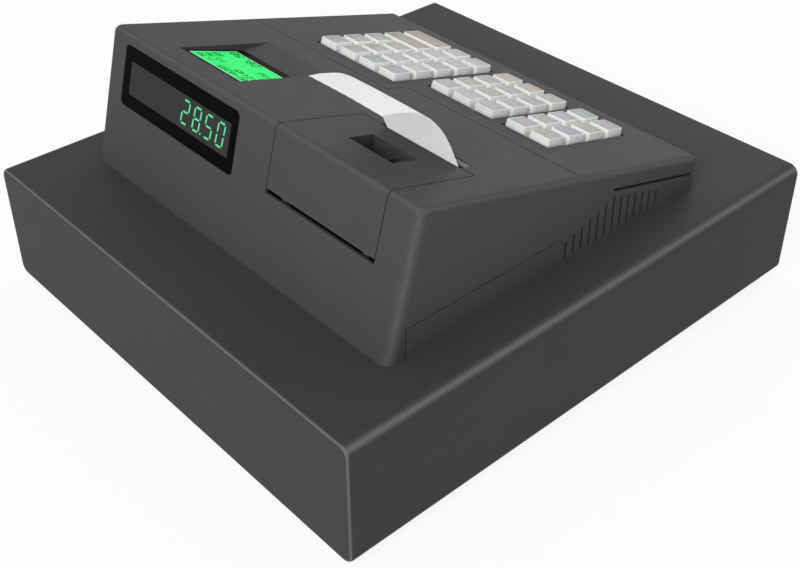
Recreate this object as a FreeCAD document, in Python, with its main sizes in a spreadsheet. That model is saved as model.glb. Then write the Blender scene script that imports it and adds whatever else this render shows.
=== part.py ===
import FreeCAD, Part
import math
import os
import Sketcher


class Size:
    """A length or an angle: its formula in the sheet's words and its value now."""

    def __init__(self, text, value):
        self.text = text
        self.value = float(value)

    def __add__(self, other):
        other = as_size(other)
        return Size(f"({self.text} + {other.text})", self.value + other.value)

    __radd__ = __add__

    def __sub__(self, other):
        other = as_size(other)
        return Size(f"({self.text} - {other.text})", self.value - other.value)

    def __rsub__(self, other):
        return as_size(other) - self

    def __mul__(self, other):
        other = as_size(other)
        return Size(f"({self.text} * {other.text})", self.value * other.value)

    __rmul__ = __mul__

    def __truediv__(self, other):
        other = as_size(other)
        return Size(f"({self.text} / {other.text})", self.value / other.value)

    def __neg__(self):
        return Size(f"(0 - {self.text})", -self.value)


def as_size(item):
    return item if isinstance(item, Size) else Size(repr(item), item)


ZERO = Size("0", 0)


def sine(angle):
    return Size(f"sin({angle.text} * 1 deg)", math.sin(math.radians(angle.value)))


def cosine(angle):
    return Size(f"cos({angle.text} * 1 deg)", math.cos(math.radians(angle.value)))


def tangent(angle):
    return Size(f"tan({angle.text} * 1 deg)", math.tan(math.radians(angle.value)))


# Driving dimensions in millimetres and degrees, grouped by the piece that owns them.
DRIVING_VALUES = {
    # clearances that several pieces share
    "running_gap": 0.3,
    "seam_gap": 0.8,
    "shaft_gap": 0.05,
    "cut_overrun": 5,
    # feet under the drawer
    "foot_height": 4,
    "foot_radius": 9,
    "foot_inset": 36,
    # drawer casing, a folded steel sleeve
    "casing_width": 410,
    "casing_depth": 450,
    "casing_height": 98,
    "casing_wall": 1.5,
    "casing_side_radius": 8,
    "casing_rear_radius": 3,
    "ledge_width": 12,
    "ledge_thickness": 2,
    "ledge_rise": 40,
    "ledge_length": 400,
    "catch_width": 16,
    "catch_thickness": 2,
    "catch_drop": 7,
    "latch_post_x": 40,
    "latch_post_from_rear": 20,
    "latch_post_radius": 6,
    "latch_pin_radius": 3,
    "latch_post_height": 20,
    # drawer tray with its front panel
    "tray_wall": 1.2,
    "tray_floor_gap": 2,
    "tray_side_gap": 2,
    "tray_rear_space": 60,
    "tray_wall_height": 54,
    "front_panel_thickness": 12,
    "front_panel_gap": 1,
    "striker_length": 17,
    "striker_thickness": 3,
    "striker_x": 53,
    "striker_lip": 7,
    "striker_foot": 12,
    "striker_height": 6,
    # till insert
    "till_wall": 2,
    "till_height": 50,
    "till_slide_gap": 0.3,
    "coin_cup_depth": 78,
    "coin_cup_drop": 34,
    "coin_cup_radius": 9,
    "note_slot_drop": 46,
    # note clips
    "clip_arm_length": 52,
    "clip_width": 22,
    "clip_thickness": 2,
    "clip_hub_radius": 3.2,
    "clip_pin_radius": 1.6,
    "clip_pin_rise": 24,
    "clip_pin_from_wall": 7,
    "clip_lug_thickness": 3,
    "clip_tip_rise": 5,
    # lock cylinder
    "lock_radius": 9,
    "lock_drop": 20,
    "lock_length": 3.5,
    "lock_flange_radius": 11,
    "lock_flange_thickness": 1.5,
    "lock_cam_length": 15,
    "lock_cam_width": 7,
    "lock_cam_thickness": 2.5,
    "keyway_width": 2,
    "keyway_height": 9,
    "keyway_depth": 5,
    # latch lever
    "latch_arm_length": 32,
    "latch_arm_width": 3,
    "latch_nose_length": 3.5,
    "latch_nose_width": 6.5,
    "latch_thickness": 4,
    "latch_hub_radius": 6.5,
    # terminal housing, outer shape
    "terminal_width": 336,
    "terminal_rear": 162.5,
    "terminal_front": 143,
    "front_edge_height": 26.4,
    "top_tilt": 15.6,
    "rear_lean": 15.3,
    "case_wall": 2.5,
    "case_corner_radius": 8,
    "case_front_radius": 5,
    "case_top_radius": 5,
    "side_seam_height": 22.8,
    "side_seam_rear": 147,
    "side_seam_bend": 9.4,
    "side_seam_rise_end": 44.6,
    "skirt_depth": 12.6,
    "skirt_slit": 2.2,
    "top_seam_back": 9.3,
    "top_seam_front": 11.2,
    "top_seam_step": 3.5,
    "top_seam_bevel": 5,
    # vents in both sides of the lower case
    "vent_width": 2.4,
    "vent_pitch": 8.05,
    "vent_rear": 1.2,
    "vent_sill": 4.3,
    "vent_short": 14,
    "vent_step": 2.6,
    # customer display in the rear face
    "window_width": 139.8,
    "window_height": 46.6,
    "window_centre": 75.4,
    "window_base": 53.3,
    "window_corner": 4,
    "window_inset": 0.3,
    "window_flange": 4,
    "window_flange_thickness": 1.5,
    "module_depth": 8,
    "module_margin": 6,
    # operator display in its dished recess
    "dish_width": 70.5,
    "dish_centre": 74.75,
    "dish_rear": 113.5,
    "dish_bend": 59,
    "dish_front": 35,
    "dish_depth": 4.5,
    "glass_inset": 0.8,
    "glass_thickness": 2.2,
    "glass_margin": 1.2,
    "display_flange": 3,
    "display_board_depth": 7,
    # printer bay, cover and mechanism
    "cover_width": 107,
    "cover_centre": 85.7,
    "cover_front": 63,
    "cover_base": 62,
    "slot_base": 58.4,
    "cover_wall": 2.5,
    "cover_flange_depth": 7,
    "cover_flange_wall": 1.6,
    "grip_width": 42.6,
    "grip_centre": 86.4,
    "grip_rear": 102.8,
    "grip_front": 82,
    "grip_depth": 13,
    "grip_wall": 1.6,
    "grip_rib_width": 2,
    "grip_rib_height": 5,
    "hinge_depth": 3.8,
    "hinge_rise": 61.2,
    "hinge_pin_radius": 1.2,
    "hinge_ear_radius": 2.4,
    "hinge_ear_width": 4,
    "paper_slot_width": 76,
    "paper_slot_centre": 89.7,
    "paper_slot_front": 52,
    "platen_radius": 5,
    "platen_length": 68,
    "platen_shaft_radius": 2,
    "platen_drop": 10,
    "bearing_width": 4,
    "bearing_radius": 4,
    "roll_radius": 27,
    "roll_core_radius": 8,
    "paper_width": 68,
    "paper_centre": 90.5,
    "paper_thickness": 0.4,
    "roll_axis_y": 108,
    "roll_axis_height": 33,
    "bucket_wall": 2,
    "frame_plate": 2,
    "tear_bar_depth": 7,
    "tear_bar_height": 3,
    "print_head_height": 12,
    "receipt_reach": 63.5,
    "receipt_height": 60.3,
    # keyboard
    "key_pitch": 22.9,
    "key_row_pitch": 22.6,
    "key_size": 18.7,
    "key_taper": 8,
    "key_rise": 5,
    "key_skirt": 4,
    "key_edge_radius": 1.2,
    "key_stem": 6,
    "key_stem_length": 9.5,
    "key_margin": 2,
    "key_rear_row": 128.7,
    "block_a_centre": 61.4,
    "block_b_centre": 31.1,
    "block_c_centre": 97.05,
    "board_depth": 11,
    "board_thickness": 1.6,
    "board_stem_gap": 0.25,
    "board_margin": 6,
    "boss_size": 7,
}

# Shares of the vent step by which each slot is taller than the shortest one.
VENT_STEP_SHARES = (0, 1, 2, 3, 4, 5, 6.2, 5, 4, 3, 2, 1, 0)

# Share of a note clip's arm that runs straight before it bends down.
CLIP_BEND_SHARE = 0.8

# Points of the receipt's curl, as shares of its reach backwards and of its height.
RECEIPT_CURL_SHARES = (
    (0, 0), (0.055, 0.139), (0.131, 0.328), (0.276, 0.582), (0.517, 0.829), (0.823, 0.962), (1, 1))

# Keyboard blocks from the operator's right: name, columns, first row, sheet name of the
# block's centre, side of the centre line.
KEY_BLOCKS = (
    ("a", 4, 1, "block_a_centre", 1),
    ("b", 3, 2, "block_b_centre", -1),
    ("c", 2, 2, "block_c_centre", -1),
)
KEY_ROWS = 5
WIDE_KEY_ROWS = (4, 5)


DOC = FreeCAD.newDocument("TicketRegister")
SHEET = DOC.addObject("Spreadsheet::Sheet", "Sizes")


class SheetSizes:
    """Gives each driving dimension as a Size, by its name in the sheet."""

    def __init__(self, values):
        self.values = values
        for row, (name, value) in enumerate(values.items(), start=1):
            SHEET.set(f"A{row}", name)
            SHEET.set(f"B{row}", str(value))
            SHEET.setAlias(f"B{row}", name)
        DOC.recompute()

    def __getattr__(self, name):
        return Size(f"Sizes.{name}", self.values[name])


S = SheetSizes(DRIVING_VALUES)

PARTS = []


# Heights and places that many pieces follow.
CASING_BASE = S.foot_height
CASING_TOP = S.foot_height + S.casing_height
CASING_FLOOR = CASING_BASE + S.casing_wall
CASING_ROOF = CASING_TOP - S.casing_wall
HALF_CASING_DEPTH = S.casing_depth / 2
HALF_CASING_WIDTH = S.casing_width / 2
TRAY_BACK = HALF_CASING_DEPTH - S.tray_rear_space
TRAY_FRONT = S.front_panel_thickness - HALF_CASING_DEPTH
TRAY_UNDERSIDE = CASING_FLOOR + S.tray_floor_gap
LEDGE_TOP = CASING_FLOOR + S.ledge_rise
LEDGE_INNER = HALF_CASING_WIDTH - S.casing_wall - S.ledge_width
TRAY_HALF_WIDTH = LEDGE_INNER - S.tray_side_gap
TILL_UNDERSIDE = TRAY_UNDERSIDE + S.tray_wall
BASE = CASING_TOP
HALF_TERMINAL = S.terminal_width / 2
TILT_SINE = sine(S.top_tilt)
TILT_COSINE = cosine(S.top_tilt)
LEAN_SINE = sine(S.rear_lean)
LEAN_COSINE = cosine(S.rear_lean)
LEAN_TANGENT = tangent(S.rear_lean)


def top_point(run, depth=ZERO):
    """(y, z) on the sloping top: run measured up the slope from the front edge, depth below it."""
    y = run * TILT_COSINE + depth * TILT_SINE - S.terminal_front
    z = BASE + S.front_edge_height + run * TILT_SINE - depth * TILT_COSINE
    return y, z


def top_at(y, depth=ZERO):
    """(y, z) on the line that lies depth below the sloping top, above the place y."""
    rise = (y + S.terminal_front) * tangent(S.top_tilt)
    return y, BASE + S.front_edge_height + rise - depth / TILT_COSINE


def rear_point(run, depth=ZERO):
    """(y, z) on the leaning rear face: run measured up the face, depth inwards from it."""
    y = S.terminal_rear - run * LEAN_SINE - depth * LEAN_COSINE
    z = BASE + run * LEAN_COSINE - depth * LEAN_SINE
    return y, z


def rear_at(z, depth=ZERO):
    """(y, z) on the line that lies depth inside the rear face, at the height z."""
    return S.terminal_rear - (z - BASE) * LEAN_TANGENT - depth / LEAN_COSINE, z


def rear_top_corner(depth=ZERO):
    """(y, z) where the lines depth under the top and depth inside the rear face meet."""
    slope = tangent(S.top_tilt)
    drop = depth / TILT_COSINE
    inset = depth / LEAN_COSINE
    level = S.front_edge_height + S.terminal_front * slope - drop
    y = (S.terminal_rear - inset - level * LEAN_TANGENT) / (slope * LEAN_TANGENT + 1)
    return y, BASE + level + y * slope


def side_seam_line():
    """(y, z) points of the seam between the lower case and the covers above it, from the back."""
    return (
        (S.side_seam_rear, BASE + S.side_seam_height),
        (S.side_seam_bend, BASE + S.side_seam_height),
        top_at(-S.side_seam_rise_end, S.skirt_depth),
        top_at(-S.terminal_front, S.skirt_depth),
    )


# Sketch and feature helpers.
def new_body(label):
    body = DOC.addObject("PartDesign::Body", label)
    body.Label = label
    PARTS.append(body)
    return body


def sketch_on(body, role, offset=ZERO):
    """Sketch on one of the body's origin planes, offset along that plane's normal."""
    plane = next(item for item in body.Origin.OriginFeatures if item.Role == role)
    sketch = body.newObject("Sketcher::SketchObject", f"{body.Label}_sketch")
    sketch.AttachmentSupport = [(plane, "")]
    sketch.MapMode = "FlatFace"
    sketch.AttachmentOffset = FreeCAD.Placement(
        FreeCAD.Vector(0, 0, offset.value), FreeCAD.Rotation())
    sketch.setExpression("AttachmentOffset.Base.z", offset.text)
    return sketch


def sketch_on_slope(body, point, tilt):
    """Sketch whose plane runs along X and is tilted about X, through the (y, z) point."""
    sketch = sketch_on(body, "XY_Plane")
    y, z = point
    sketch.AttachmentOffset = FreeCAD.Placement(
        FreeCAD.Vector(0, y.value, z.value),
        FreeCAD.Rotation(FreeCAD.Vector(1, 0, 0), tilt.value))
    sketch.setExpression("AttachmentOffset.Base.y", y.text)
    sketch.setExpression("AttachmentOffset.Base.z", z.text)
    sketch.setExpression("AttachmentOffset.Rotation.Angle", tilt.text)
    return sketch


def bind_coordinate(sketch, kind, geometry, position, target):
    """Hold one coordinate of a sketch point at a size measured from the sketch's origin."""
    if target.text == "0":
        axis = -2 if kind == "DistanceX" else -1
        sketch.addConstraint(Sketcher.Constraint("PointOnObject", geometry, position, axis))
        return
    if target.value >= 0:
        held = Sketcher.Constraint(kind, -1, 1, geometry, position, target.value)
        text = target.text
    else:
        held = Sketcher.Constraint(kind, geometry, position, -1, 1, -target.value)
        text = f"0 - {target.text}"
    index = sketch.addConstraint(held)
    sketch.setExpression(f"Constraints[{index}]", text)


def add_polygon(sketch, points):
    points = [(as_size(x), as_size(y)) for x, y in points]
    first = sketch.GeometryCount
    count = len(points)
    corners = [FreeCAD.Vector(x.value, y.value, 0) for x, y in points]
    for index in range(count):
        line = Part.LineSegment(corners[index], corners[(index + 1) % count])
        sketch.addGeometry(line, False)
    for index in range(count):
        following = first + (index + 1) % count
        sketch.addConstraint(Sketcher.Constraint("Coincident", first + index, 2, following, 1))
    for index, (x, y) in enumerate(points):
        bind_coordinate(sketch, "DistanceX", first + index, 1, x)
        bind_coordinate(sketch, "DistanceY", first + index, 1, y)


def add_rectangle(sketch, x_low, x_high, y_low, y_high):
    add_polygon(sketch, ((x_low, y_low), (x_high, y_low), (x_high, y_high), (x_low, y_high)))


def add_circle(sketch, x, y, radius):
    x = as_size(x)
    y = as_size(y)
    centre = FreeCAD.Vector(x.value, y.value, 0)
    index = sketch.addGeometry(Part.Circle(centre, FreeCAD.Vector(0, 0, 1), radius.value), False)
    bind_coordinate(sketch, "DistanceX", index, 3, x)
    bind_coordinate(sketch, "DistanceY", index, 3, y)
    held = sketch.addConstraint(Sketcher.Constraint("Radius", index, radius.value))
    sketch.setExpression(f"Constraints[{held}]", radius.text)


def extrude(body, sketch, kind, length, taper=None):
    feature = body.newObject(f"PartDesign::{kind}", f"{body.Label}_{kind.lower()}")
    feature.Profile = sketch
    feature.Length = length.value
    feature.setExpression("Length", length.text)
    if taper is not None:
        feature.TaperAngle = taper.value
        feature.setExpression("TaperAngle", taper.text)
    return feature


def draw(sketch, outlines):
    """Add outlines to a sketch: a tuple of points is a polygon, (x, y, radius) a circle."""
    for outline in outlines:
        if len(outline) == 3 and isinstance(outline[2], Size):
            add_circle(sketch, *outline)
        else:
            add_polygon(sketch, outline)


def across_pad(body, x_low, x_high, *outlines):
    """Pad (y, z) outlines from x_low to x_high."""
    sketch = sketch_on(body, "YZ_Plane", as_size(x_low))
    draw(sketch, outlines)
    return extrude(body, sketch, "Pad", x_high - x_low)


def across_cut(body, x_low, x_high, *outlines):
    """Cut (y, z) outlines from x_low to x_high."""
    sketch = sketch_on(body, "YZ_Plane", as_size(x_high))
    draw(sketch, outlines)
    return extrude(body, sketch, "Pocket", x_high - x_low)


def upright_pad(body, z_low, z_high, *outlines):
    """Pad (x, y) outlines from z_low up to z_high."""
    sketch = sketch_on(body, "XY_Plane", as_size(z_low))
    draw(sketch, outlines)
    return extrude(body, sketch, "Pad", z_high - z_low)


def upright_cut(body, z_low, z_high, *outlines):
    """Cut (x, y) outlines from z_high down to z_low."""
    sketch = sketch_on(body, "XY_Plane", as_size(z_high))
    draw(sketch, outlines)
    return extrude(body, sketch, "Pocket", z_high - z_low)


def lengthwise_pad(body, y_low, y_high, *outlines):
    """Pad (x, z) outlines from y_low to y_high."""
    sketch = sketch_on(body, "XZ_Plane", -as_size(y_high))
    draw(sketch, outlines)
    return extrude(body, sketch, "Pad", y_high - y_low)


def lengthwise_cut(body, y_low, y_high, *outlines):
    """Cut (x, z) outlines from y_low to y_high."""
    sketch = sketch_on(body, "XZ_Plane", -as_size(y_low))
    draw(sketch, outlines)
    return extrude(body, sketch, "Pocket", y_high - y_low)


def box(x_low, x_high, y_low, y_high):
    """Four corners of a rectangle as an outline."""
    return ((x_low, y_low), (x_high, y_low), (x_high, y_high), (x_low, y_high))


def straight_edges(body, test):
    """Names of the straight edges of the body that pass the test (middle point, direction)."""
    DOC.recompute([body])
    names = []
    for index, edge in enumerate(body.Tip.Shape.Edges, start=1):
        if edge.Curve.TypeId != "Part::GeomLine":
            continue
        start, end = (vertex.Point for vertex in (edge.Vertexes[0], edge.Vertexes[-1]))
        direction = (end - start).normalize()
        if test((start + end) / 2, direction):
            names.append(f"Edge{index}")
    return names


def edges_within(body, test):
    """Names of the edges of any form whose bounding box passes the test."""
    DOC.recompute([body])
    edges = enumerate(body.Tip.Shape.Edges, start=1)
    return [f"Edge{index}" for index, edge in edges if test(edge.BoundBox)]


def fillet(body, radius, names):
    if not names:
        raise ValueError(f"no edge to round on {body.Label}")
    rounded = body.Tip
    feature = body.newObject("PartDesign::Fillet", f"{body.Label}_fillet")
    feature.Base = (rounded, names)
    feature.Radius = radius.value
    feature.setExpression("Radius", radius.text)
    return feature


def round_edges(body, radius, test):
    return fillet(body, radius, straight_edges(body, test))


NEAR = 0.01


def near(first, second):
    return abs(first - as_size(second).value) < NEAR


def along(direction, axis):
    """True where an edge runs along the axis named x, y or z."""
    return abs(abs(getattr(direction, axis)) - 1) < NEAR


def place(body, x=ZERO, y=ZERO, z=ZERO):
    """Put the body's own origin at the given point."""
    body.Placement = FreeCAD.Placement(
        FreeCAD.Vector(x.value, y.value, z.value), FreeCAD.Rotation())
    body.setExpression("Placement.Base.x", x.text)
    body.setExpression("Placement.Base.y", y.text)
    body.setExpression("Placement.Base.z", z.text)


def place_on_top(body, x, point):
    """Put the body's own origin at x and the (y, z) point, its Z square to the sloping top."""
    y, z = point
    place(body, x, y, z)
    body.Placement = FreeCAD.Placement(
        FreeCAD.Vector(x.value, y.value, z.value),
        FreeCAD.Rotation(FreeCAD.Vector(1, 0, 0), S.top_tilt.value))
    body.setExpression("Placement.Rotation.Angle", S.top_tilt.text)


# Drawer.
def make_feet():
    """Four round rubber feet, one group in one node."""
    x_place = HALF_CASING_WIDTH - S.foot_inset
    y_place = HALF_CASING_DEPTH - S.foot_inset
    feet = []
    for x_side in (-1, 1):
        for y_side in (-1, 1):
            foot = DOC.addObject("Part::Cylinder", "foot_pad")
            foot.setExpression("Radius", S.foot_radius.text)
            foot.setExpression("Height", S.foot_height.text)
            foot.setExpression("Placement.Base.x", (x_side * x_place).text)
            foot.setExpression("Placement.Base.y", (y_side * y_place).text)
            feet.append(foot)
    DOC.recompute()
    group = DOC.addObject("Part::Compound", "drawer_feet")
    group.Links = feet
    group.Label = "drawer_feet"
    PARTS.append(group)


def make_drawer_casing():
    """Steel sleeve, open at the front, with two runner ledges, a lock catch and a latch post."""
    body = new_body("drawer_casing")
    outer = box(-HALF_CASING_WIDTH, HALF_CASING_WIDTH, CASING_BASE, CASING_TOP)
    lengthwise_pad(body, -HALF_CASING_DEPTH, HALF_CASING_DEPTH, outer)
    inner_half = HALF_CASING_WIDTH - S.casing_wall
    inner = box(-inner_half, inner_half, CASING_FLOOR, CASING_ROOF)
    lengthwise_cut(body, -HALF_CASING_DEPTH, HALF_CASING_DEPTH - S.casing_wall, inner)
    round_edges(body, S.casing_side_radius - S.casing_wall,
                lambda middle, way: along(way, "y") and near(abs(middle.x), inner_half))
    round_edges(body, S.casing_side_radius,
                lambda middle, way: along(way, "y") and near(abs(middle.x), HALF_CASING_WIDTH))
    fillet(body, S.casing_rear_radius,
           edges_within(body, lambda bounds: near(bounds.YMin, HALF_CASING_DEPTH)))
    ledge_front = S.front_panel_thickness + S.front_panel_gap - HALF_CASING_DEPTH
    ledges = [
        box(side * LEDGE_INNER, side * inner_half, LEDGE_TOP - S.ledge_thickness, LEDGE_TOP)
        for side in (-1, 1)
    ]
    lengthwise_pad(body, ledge_front, ledge_front + S.ledge_length, *ledges)
    catch_back = S.front_panel_thickness + S.front_panel_gap + S.catch_thickness - HALF_CASING_DEPTH
    lengthwise_pad(
        body, catch_back - S.catch_thickness, catch_back,
        box(-S.catch_width / 2, S.catch_width / 2, CASING_ROOF - S.catch_drop, CASING_ROOF))
    post_y = HALF_CASING_DEPTH - S.latch_post_from_rear
    post_top = CASING_FLOOR + S.latch_post_height
    upright_pad(body, CASING_FLOOR, post_top, (S.latch_post_x, post_y, S.latch_post_radius))
    upright_pad(body, post_top, post_top + S.latch_thickness + S.latch_pin_radius,
                (S.latch_post_x, post_y, S.latch_pin_radius))


def make_drawer_tray():
    """Steel tray with side flanges and its boxed front panel."""
    body = new_body("drawer_tray")
    wall_top = TRAY_UNDERSIDE + S.tray_wall_height
    upright_pad(body, TRAY_UNDERSIDE, wall_top,
                box(-TRAY_HALF_WIDTH, TRAY_HALF_WIDTH, TRAY_FRONT, TRAY_BACK))
    inner_half = TRAY_HALF_WIDTH - S.tray_wall
    upright_cut(body, TILL_UNDERSIDE, wall_top,
                box(-inner_half, inner_half, TRAY_FRONT, TRAY_BACK - S.tray_wall))
    flange_outer = HALF_CASING_WIDTH - S.casing_wall - S.front_panel_gap
    flange_low = LEDGE_TOP + S.running_gap
    flanges = [
        box(side * inner_half, side * flange_outer, flange_low, flange_low + S.tray_wall)
        for side in (-1, 1)
    ]
    lengthwise_pad(body, TRAY_FRONT, TRAY_BACK, *flanges)
    panel_half = HALF_CASING_WIDTH - S.casing_wall - S.front_panel_gap
    panel_low = CASING_FLOOR + S.front_panel_gap
    panel_high = CASING_ROOF - S.front_panel_gap
    lengthwise_pad(body, -HALF_CASING_DEPTH, TRAY_FRONT,
                   box(-panel_half, panel_half, panel_low, panel_high))
    round_edges(body, S.casing_side_radius - S.casing_wall - S.front_panel_gap,
                lambda middle, way: along(way, "y") and near(abs(middle.x), panel_half)
                and middle.y < TRAY_FRONT.value
                and (near(middle.z, panel_low) or near(middle.z, panel_high)))
    lock_z = CASING_ROOF - S.lock_drop
    lengthwise_cut(body, -HALF_CASING_DEPTH, TRAY_FRONT, (ZERO, lock_z, S.lock_radius + S.shaft_gap))
    lengthwise_cut(body, -HALF_CASING_DEPTH,
                   S.lock_flange_thickness + S.running_gap - HALF_CASING_DEPTH,
                   (ZERO, lock_z, S.lock_flange_radius + S.running_gap))


def make_drawer_striker():
    """Bent steel hook plate on the back of the tray, which the latch holds."""
    body = new_body("drawer_striker")
    low = CASING_FLOOR + S.latch_post_height
    high = low + S.striker_height
    back = TRAY_BACK + S.striker_length
    stem_left = S.striker_x - S.striker_thickness
    foot = box(stem_left, S.striker_x + S.striker_foot, TRAY_BACK, TRAY_BACK + S.striker_thickness)
    stem = box(stem_left, S.striker_x, TRAY_BACK, back)
    lip = box(S.striker_x - S.striker_lip, S.striker_x, back - S.striker_thickness, back)
    upright_pad(body, low, high, foot)
    upright_pad(body, low, high, stem)
    upright_pad(body, low, high, lip)


def make_drawer_lock():
    """Key cylinder with its cam, lying in the front panel."""
    body = new_body("drawer_lock")
    front = -HALF_CASING_DEPTH
    lock_z = CASING_ROOF - S.lock_drop
    cam_front = TRAY_FRONT + S.lock_length
    lengthwise_pad(body, front, front + S.lock_flange_thickness, (ZERO, lock_z, S.lock_flange_radius))
    lengthwise_pad(body, front + S.lock_flange_thickness, cam_front, (ZERO, lock_z, S.lock_radius))
    lengthwise_pad(body, cam_front, cam_front + S.lock_cam_thickness,
                   box(-S.lock_cam_width / 2, S.lock_cam_length,
                       lock_z - S.lock_cam_width / 2, lock_z + S.lock_cam_width / 2))
    lengthwise_cut(body, front, front + S.keyway_depth,
                   box(-S.keyway_width / 2, S.keyway_width / 2,
                       lock_z - S.keyway_height / 2, lock_z + S.keyway_height / 2))


def make_drawer_latch():
    """Swinging hook lever on the post behind the tray, at rest clear of the striker."""
    body = new_body("drawer_latch")
    low = CASING_FLOOR + S.latch_post_height
    high = low + S.latch_thickness
    post_x = S.latch_post_x
    post_y = HALF_CASING_DEPTH - S.latch_post_from_rear
    tip_y = post_y - S.latch_arm_length
    upright_pad(body, low, high, (post_x, post_y, S.latch_hub_radius))
    arm_left = post_x - S.latch_arm_width
    upright_pad(body, low, high, box(arm_left, post_x, tip_y, post_y))
    upright_pad(body, low, high,
                box(arm_left, arm_left + S.latch_nose_width, tip_y, tip_y + S.latch_nose_length))
    upright_cut(body, low, high, (post_x, post_y, S.latch_pin_radius + S.shaft_gap))


def till_cell_columns():
    """(x low, x high) of the four columns of compartments."""
    count = 4
    half = TRAY_HALF_WIDTH - S.tray_wall - S.till_slide_gap
    cell = (half * 2 - S.till_wall * (count + 1)) / count
    columns = []
    for index in range(count):
        low = S.till_wall + (cell + S.till_wall) * index - half
        columns.append((low, low + cell))
    return columns


TILL_TOP = TILL_UNDERSIDE + S.till_height
TILL_BACK = TRAY_BACK - S.tray_wall - S.till_slide_gap
TILL_FRONT = TRAY_FRONT + S.till_slide_gap
NOTE_BACK = TILL_BACK - S.till_wall
NOTE_FRONT = TILL_FRONT + (S.coin_cup_depth + S.till_wall) * 2 + S.till_wall
CLIP_PIN_Y = NOTE_BACK - S.clip_pin_from_wall
CLIP_PIN_Z = TILL_TOP - S.note_slot_drop + S.clip_pin_rise


def make_till_insert():
    """Moulded insert with four note compartments at the back and two rows of coin cups."""
    body = new_body("till_insert")
    half = TRAY_HALF_WIDTH - S.tray_wall - S.till_slide_gap
    upright_pad(body, TILL_UNDERSIDE, TILL_TOP, box(-half, half, TILL_FRONT, TILL_BACK))
    columns = till_cell_columns()
    notes = [box(low, high, NOTE_FRONT, NOTE_BACK) for low, high in columns]
    upright_cut(body, TILL_TOP - S.note_slot_drop, TILL_TOP, *notes)
    cup_floor = TILL_TOP - S.coin_cup_drop
    for row in range(2):
        cup_front = TILL_FRONT + S.till_wall + (S.coin_cup_depth + S.till_wall) * row
        cups = [box(low, high, cup_front, cup_front + S.coin_cup_depth) for low, high in columns]
        upright_cut(body, cup_floor, TILL_TOP, *cups)
    round_edges(body, S.coin_cup_radius,
                lambda middle, way: along(way, "x") and near(middle.z, cup_floor))
    for low, high in columns:
        middle = (low + high) / 2
        for side in (-1, 1):
            lug_in = middle + side * (S.clip_width / 2 + S.running_gap)
            lug_out = lug_in + side * S.clip_lug_thickness
            lug = box(CLIP_PIN_Y - S.clip_hub_radius, NOTE_BACK,
                      CLIP_PIN_Z - S.clip_hub_radius, CLIP_PIN_Z + S.clip_hub_radius)
            edges = (lug_in, lug_out) if side > 0 else (lug_out, lug_in)
            across_pad(body, edges[0], edges[1], lug)
            across_cut(body, edges[0], edges[1],
                       (CLIP_PIN_Y, CLIP_PIN_Z, S.clip_pin_radius + S.shaft_gap))


def make_note_clip(number, column):
    """Sprung hold-down arm over one note compartment, with its pin."""
    body = new_body(f"note_clip_{number}")
    low, high = column
    middle = (low + high) / 2
    half = S.clip_width / 2
    tip_y = CLIP_PIN_Y - S.clip_arm_length
    rest_z = TILL_TOP - S.note_slot_drop + S.running_gap
    bend_y = CLIP_PIN_Y - S.clip_arm_length * CLIP_BEND_SHARE
    thick = S.clip_thickness
    arm = (
        (CLIP_PIN_Y, CLIP_PIN_Z),
        (CLIP_PIN_Y, CLIP_PIN_Z - thick),
        (bend_y, rest_z),
        (tip_y, rest_z + S.clip_tip_rise),
        (tip_y, rest_z + S.clip_tip_rise + thick),
        (bend_y, rest_z + thick),
    )
    across_pad(body, middle - half, middle + half, arm)
    across_pad(body, middle - half, middle + half, (CLIP_PIN_Y, CLIP_PIN_Z, S.clip_hub_radius))
    pin_half = half + S.running_gap + S.clip_lug_thickness
    across_pad(body, middle - pin_half, middle + pin_half, (CLIP_PIN_Y, CLIP_PIN_Z, S.clip_pin_radius))


# Terminal housing.
def make_lower_case():
    """Base tub of the terminal, with vent slots in both sides."""
    body = new_body("lower_case")
    seam = side_seam_line()
    gap = S.seam_gap
    rear = S.side_seam_rear - gap
    side_outline = (
        (rear, BASE),
        (rear, seam[0][1] - gap),
        (seam[1][0], seam[1][1] - gap),
        seam[2],
        top_at(-S.side_seam_rise_end - S.skirt_slit, S.skirt_depth + S.skirt_slit),
        top_at(-S.terminal_front, S.skirt_depth + S.skirt_slit),
        (-S.terminal_front, BASE),
    )
    across_pad(body, -HALF_TERMINAL, HALF_TERMINAL, side_outline)
    round_edges(body, S.case_front_radius,
                lambda middle, way: along(way, "z") and near(middle.y, -S.terminal_front))
    inner_half = HALF_TERMINAL - S.case_wall
    floor = BASE + S.case_wall
    upright_cut(body, floor, BASE + S.front_edge_height * 3,
                box(-inner_half, inner_half, S.case_wall - S.terminal_front,
                    S.side_seam_rear + S.cut_overrun))
    plate_half = inner_half - S.running_gap
    plate_back = rear_at(floor, S.case_wall + S.running_gap)[0]
    upright_pad(body, BASE, floor, box(-plate_half, plate_half, rear - S.case_wall, plate_back))
    vents = []
    for index, share in enumerate(VENT_STEP_SHARES):
        middle = S.vent_rear - S.vent_pitch * index
        low = BASE + S.vent_sill
        high = low + S.vent_short + S.vent_step * share
        vents.append(box(middle - S.vent_width / 2, middle + S.vent_width / 2, low, high))
    across_cut(body, -HALF_TERMINAL - S.cut_overrun, HALF_TERMINAL + S.cut_overrun, *vents)


def top_seam_plan():
    """(x, y) outline of what lies in front of the stepped seam across the top."""
    far = HALF_TERMINAL + S.cut_overrun
    return (
        (far, -S.terminal_front),
        (far, S.top_seam_back),
        (S.top_seam_step, S.top_seam_back),
        (S.top_seam_step, S.top_seam_bevel - S.top_seam_front),
        (S.top_seam_step - S.top_seam_bevel, -S.top_seam_front),
        (-far, -S.top_seam_front),
        (-far, -S.terminal_front),
    )


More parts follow.
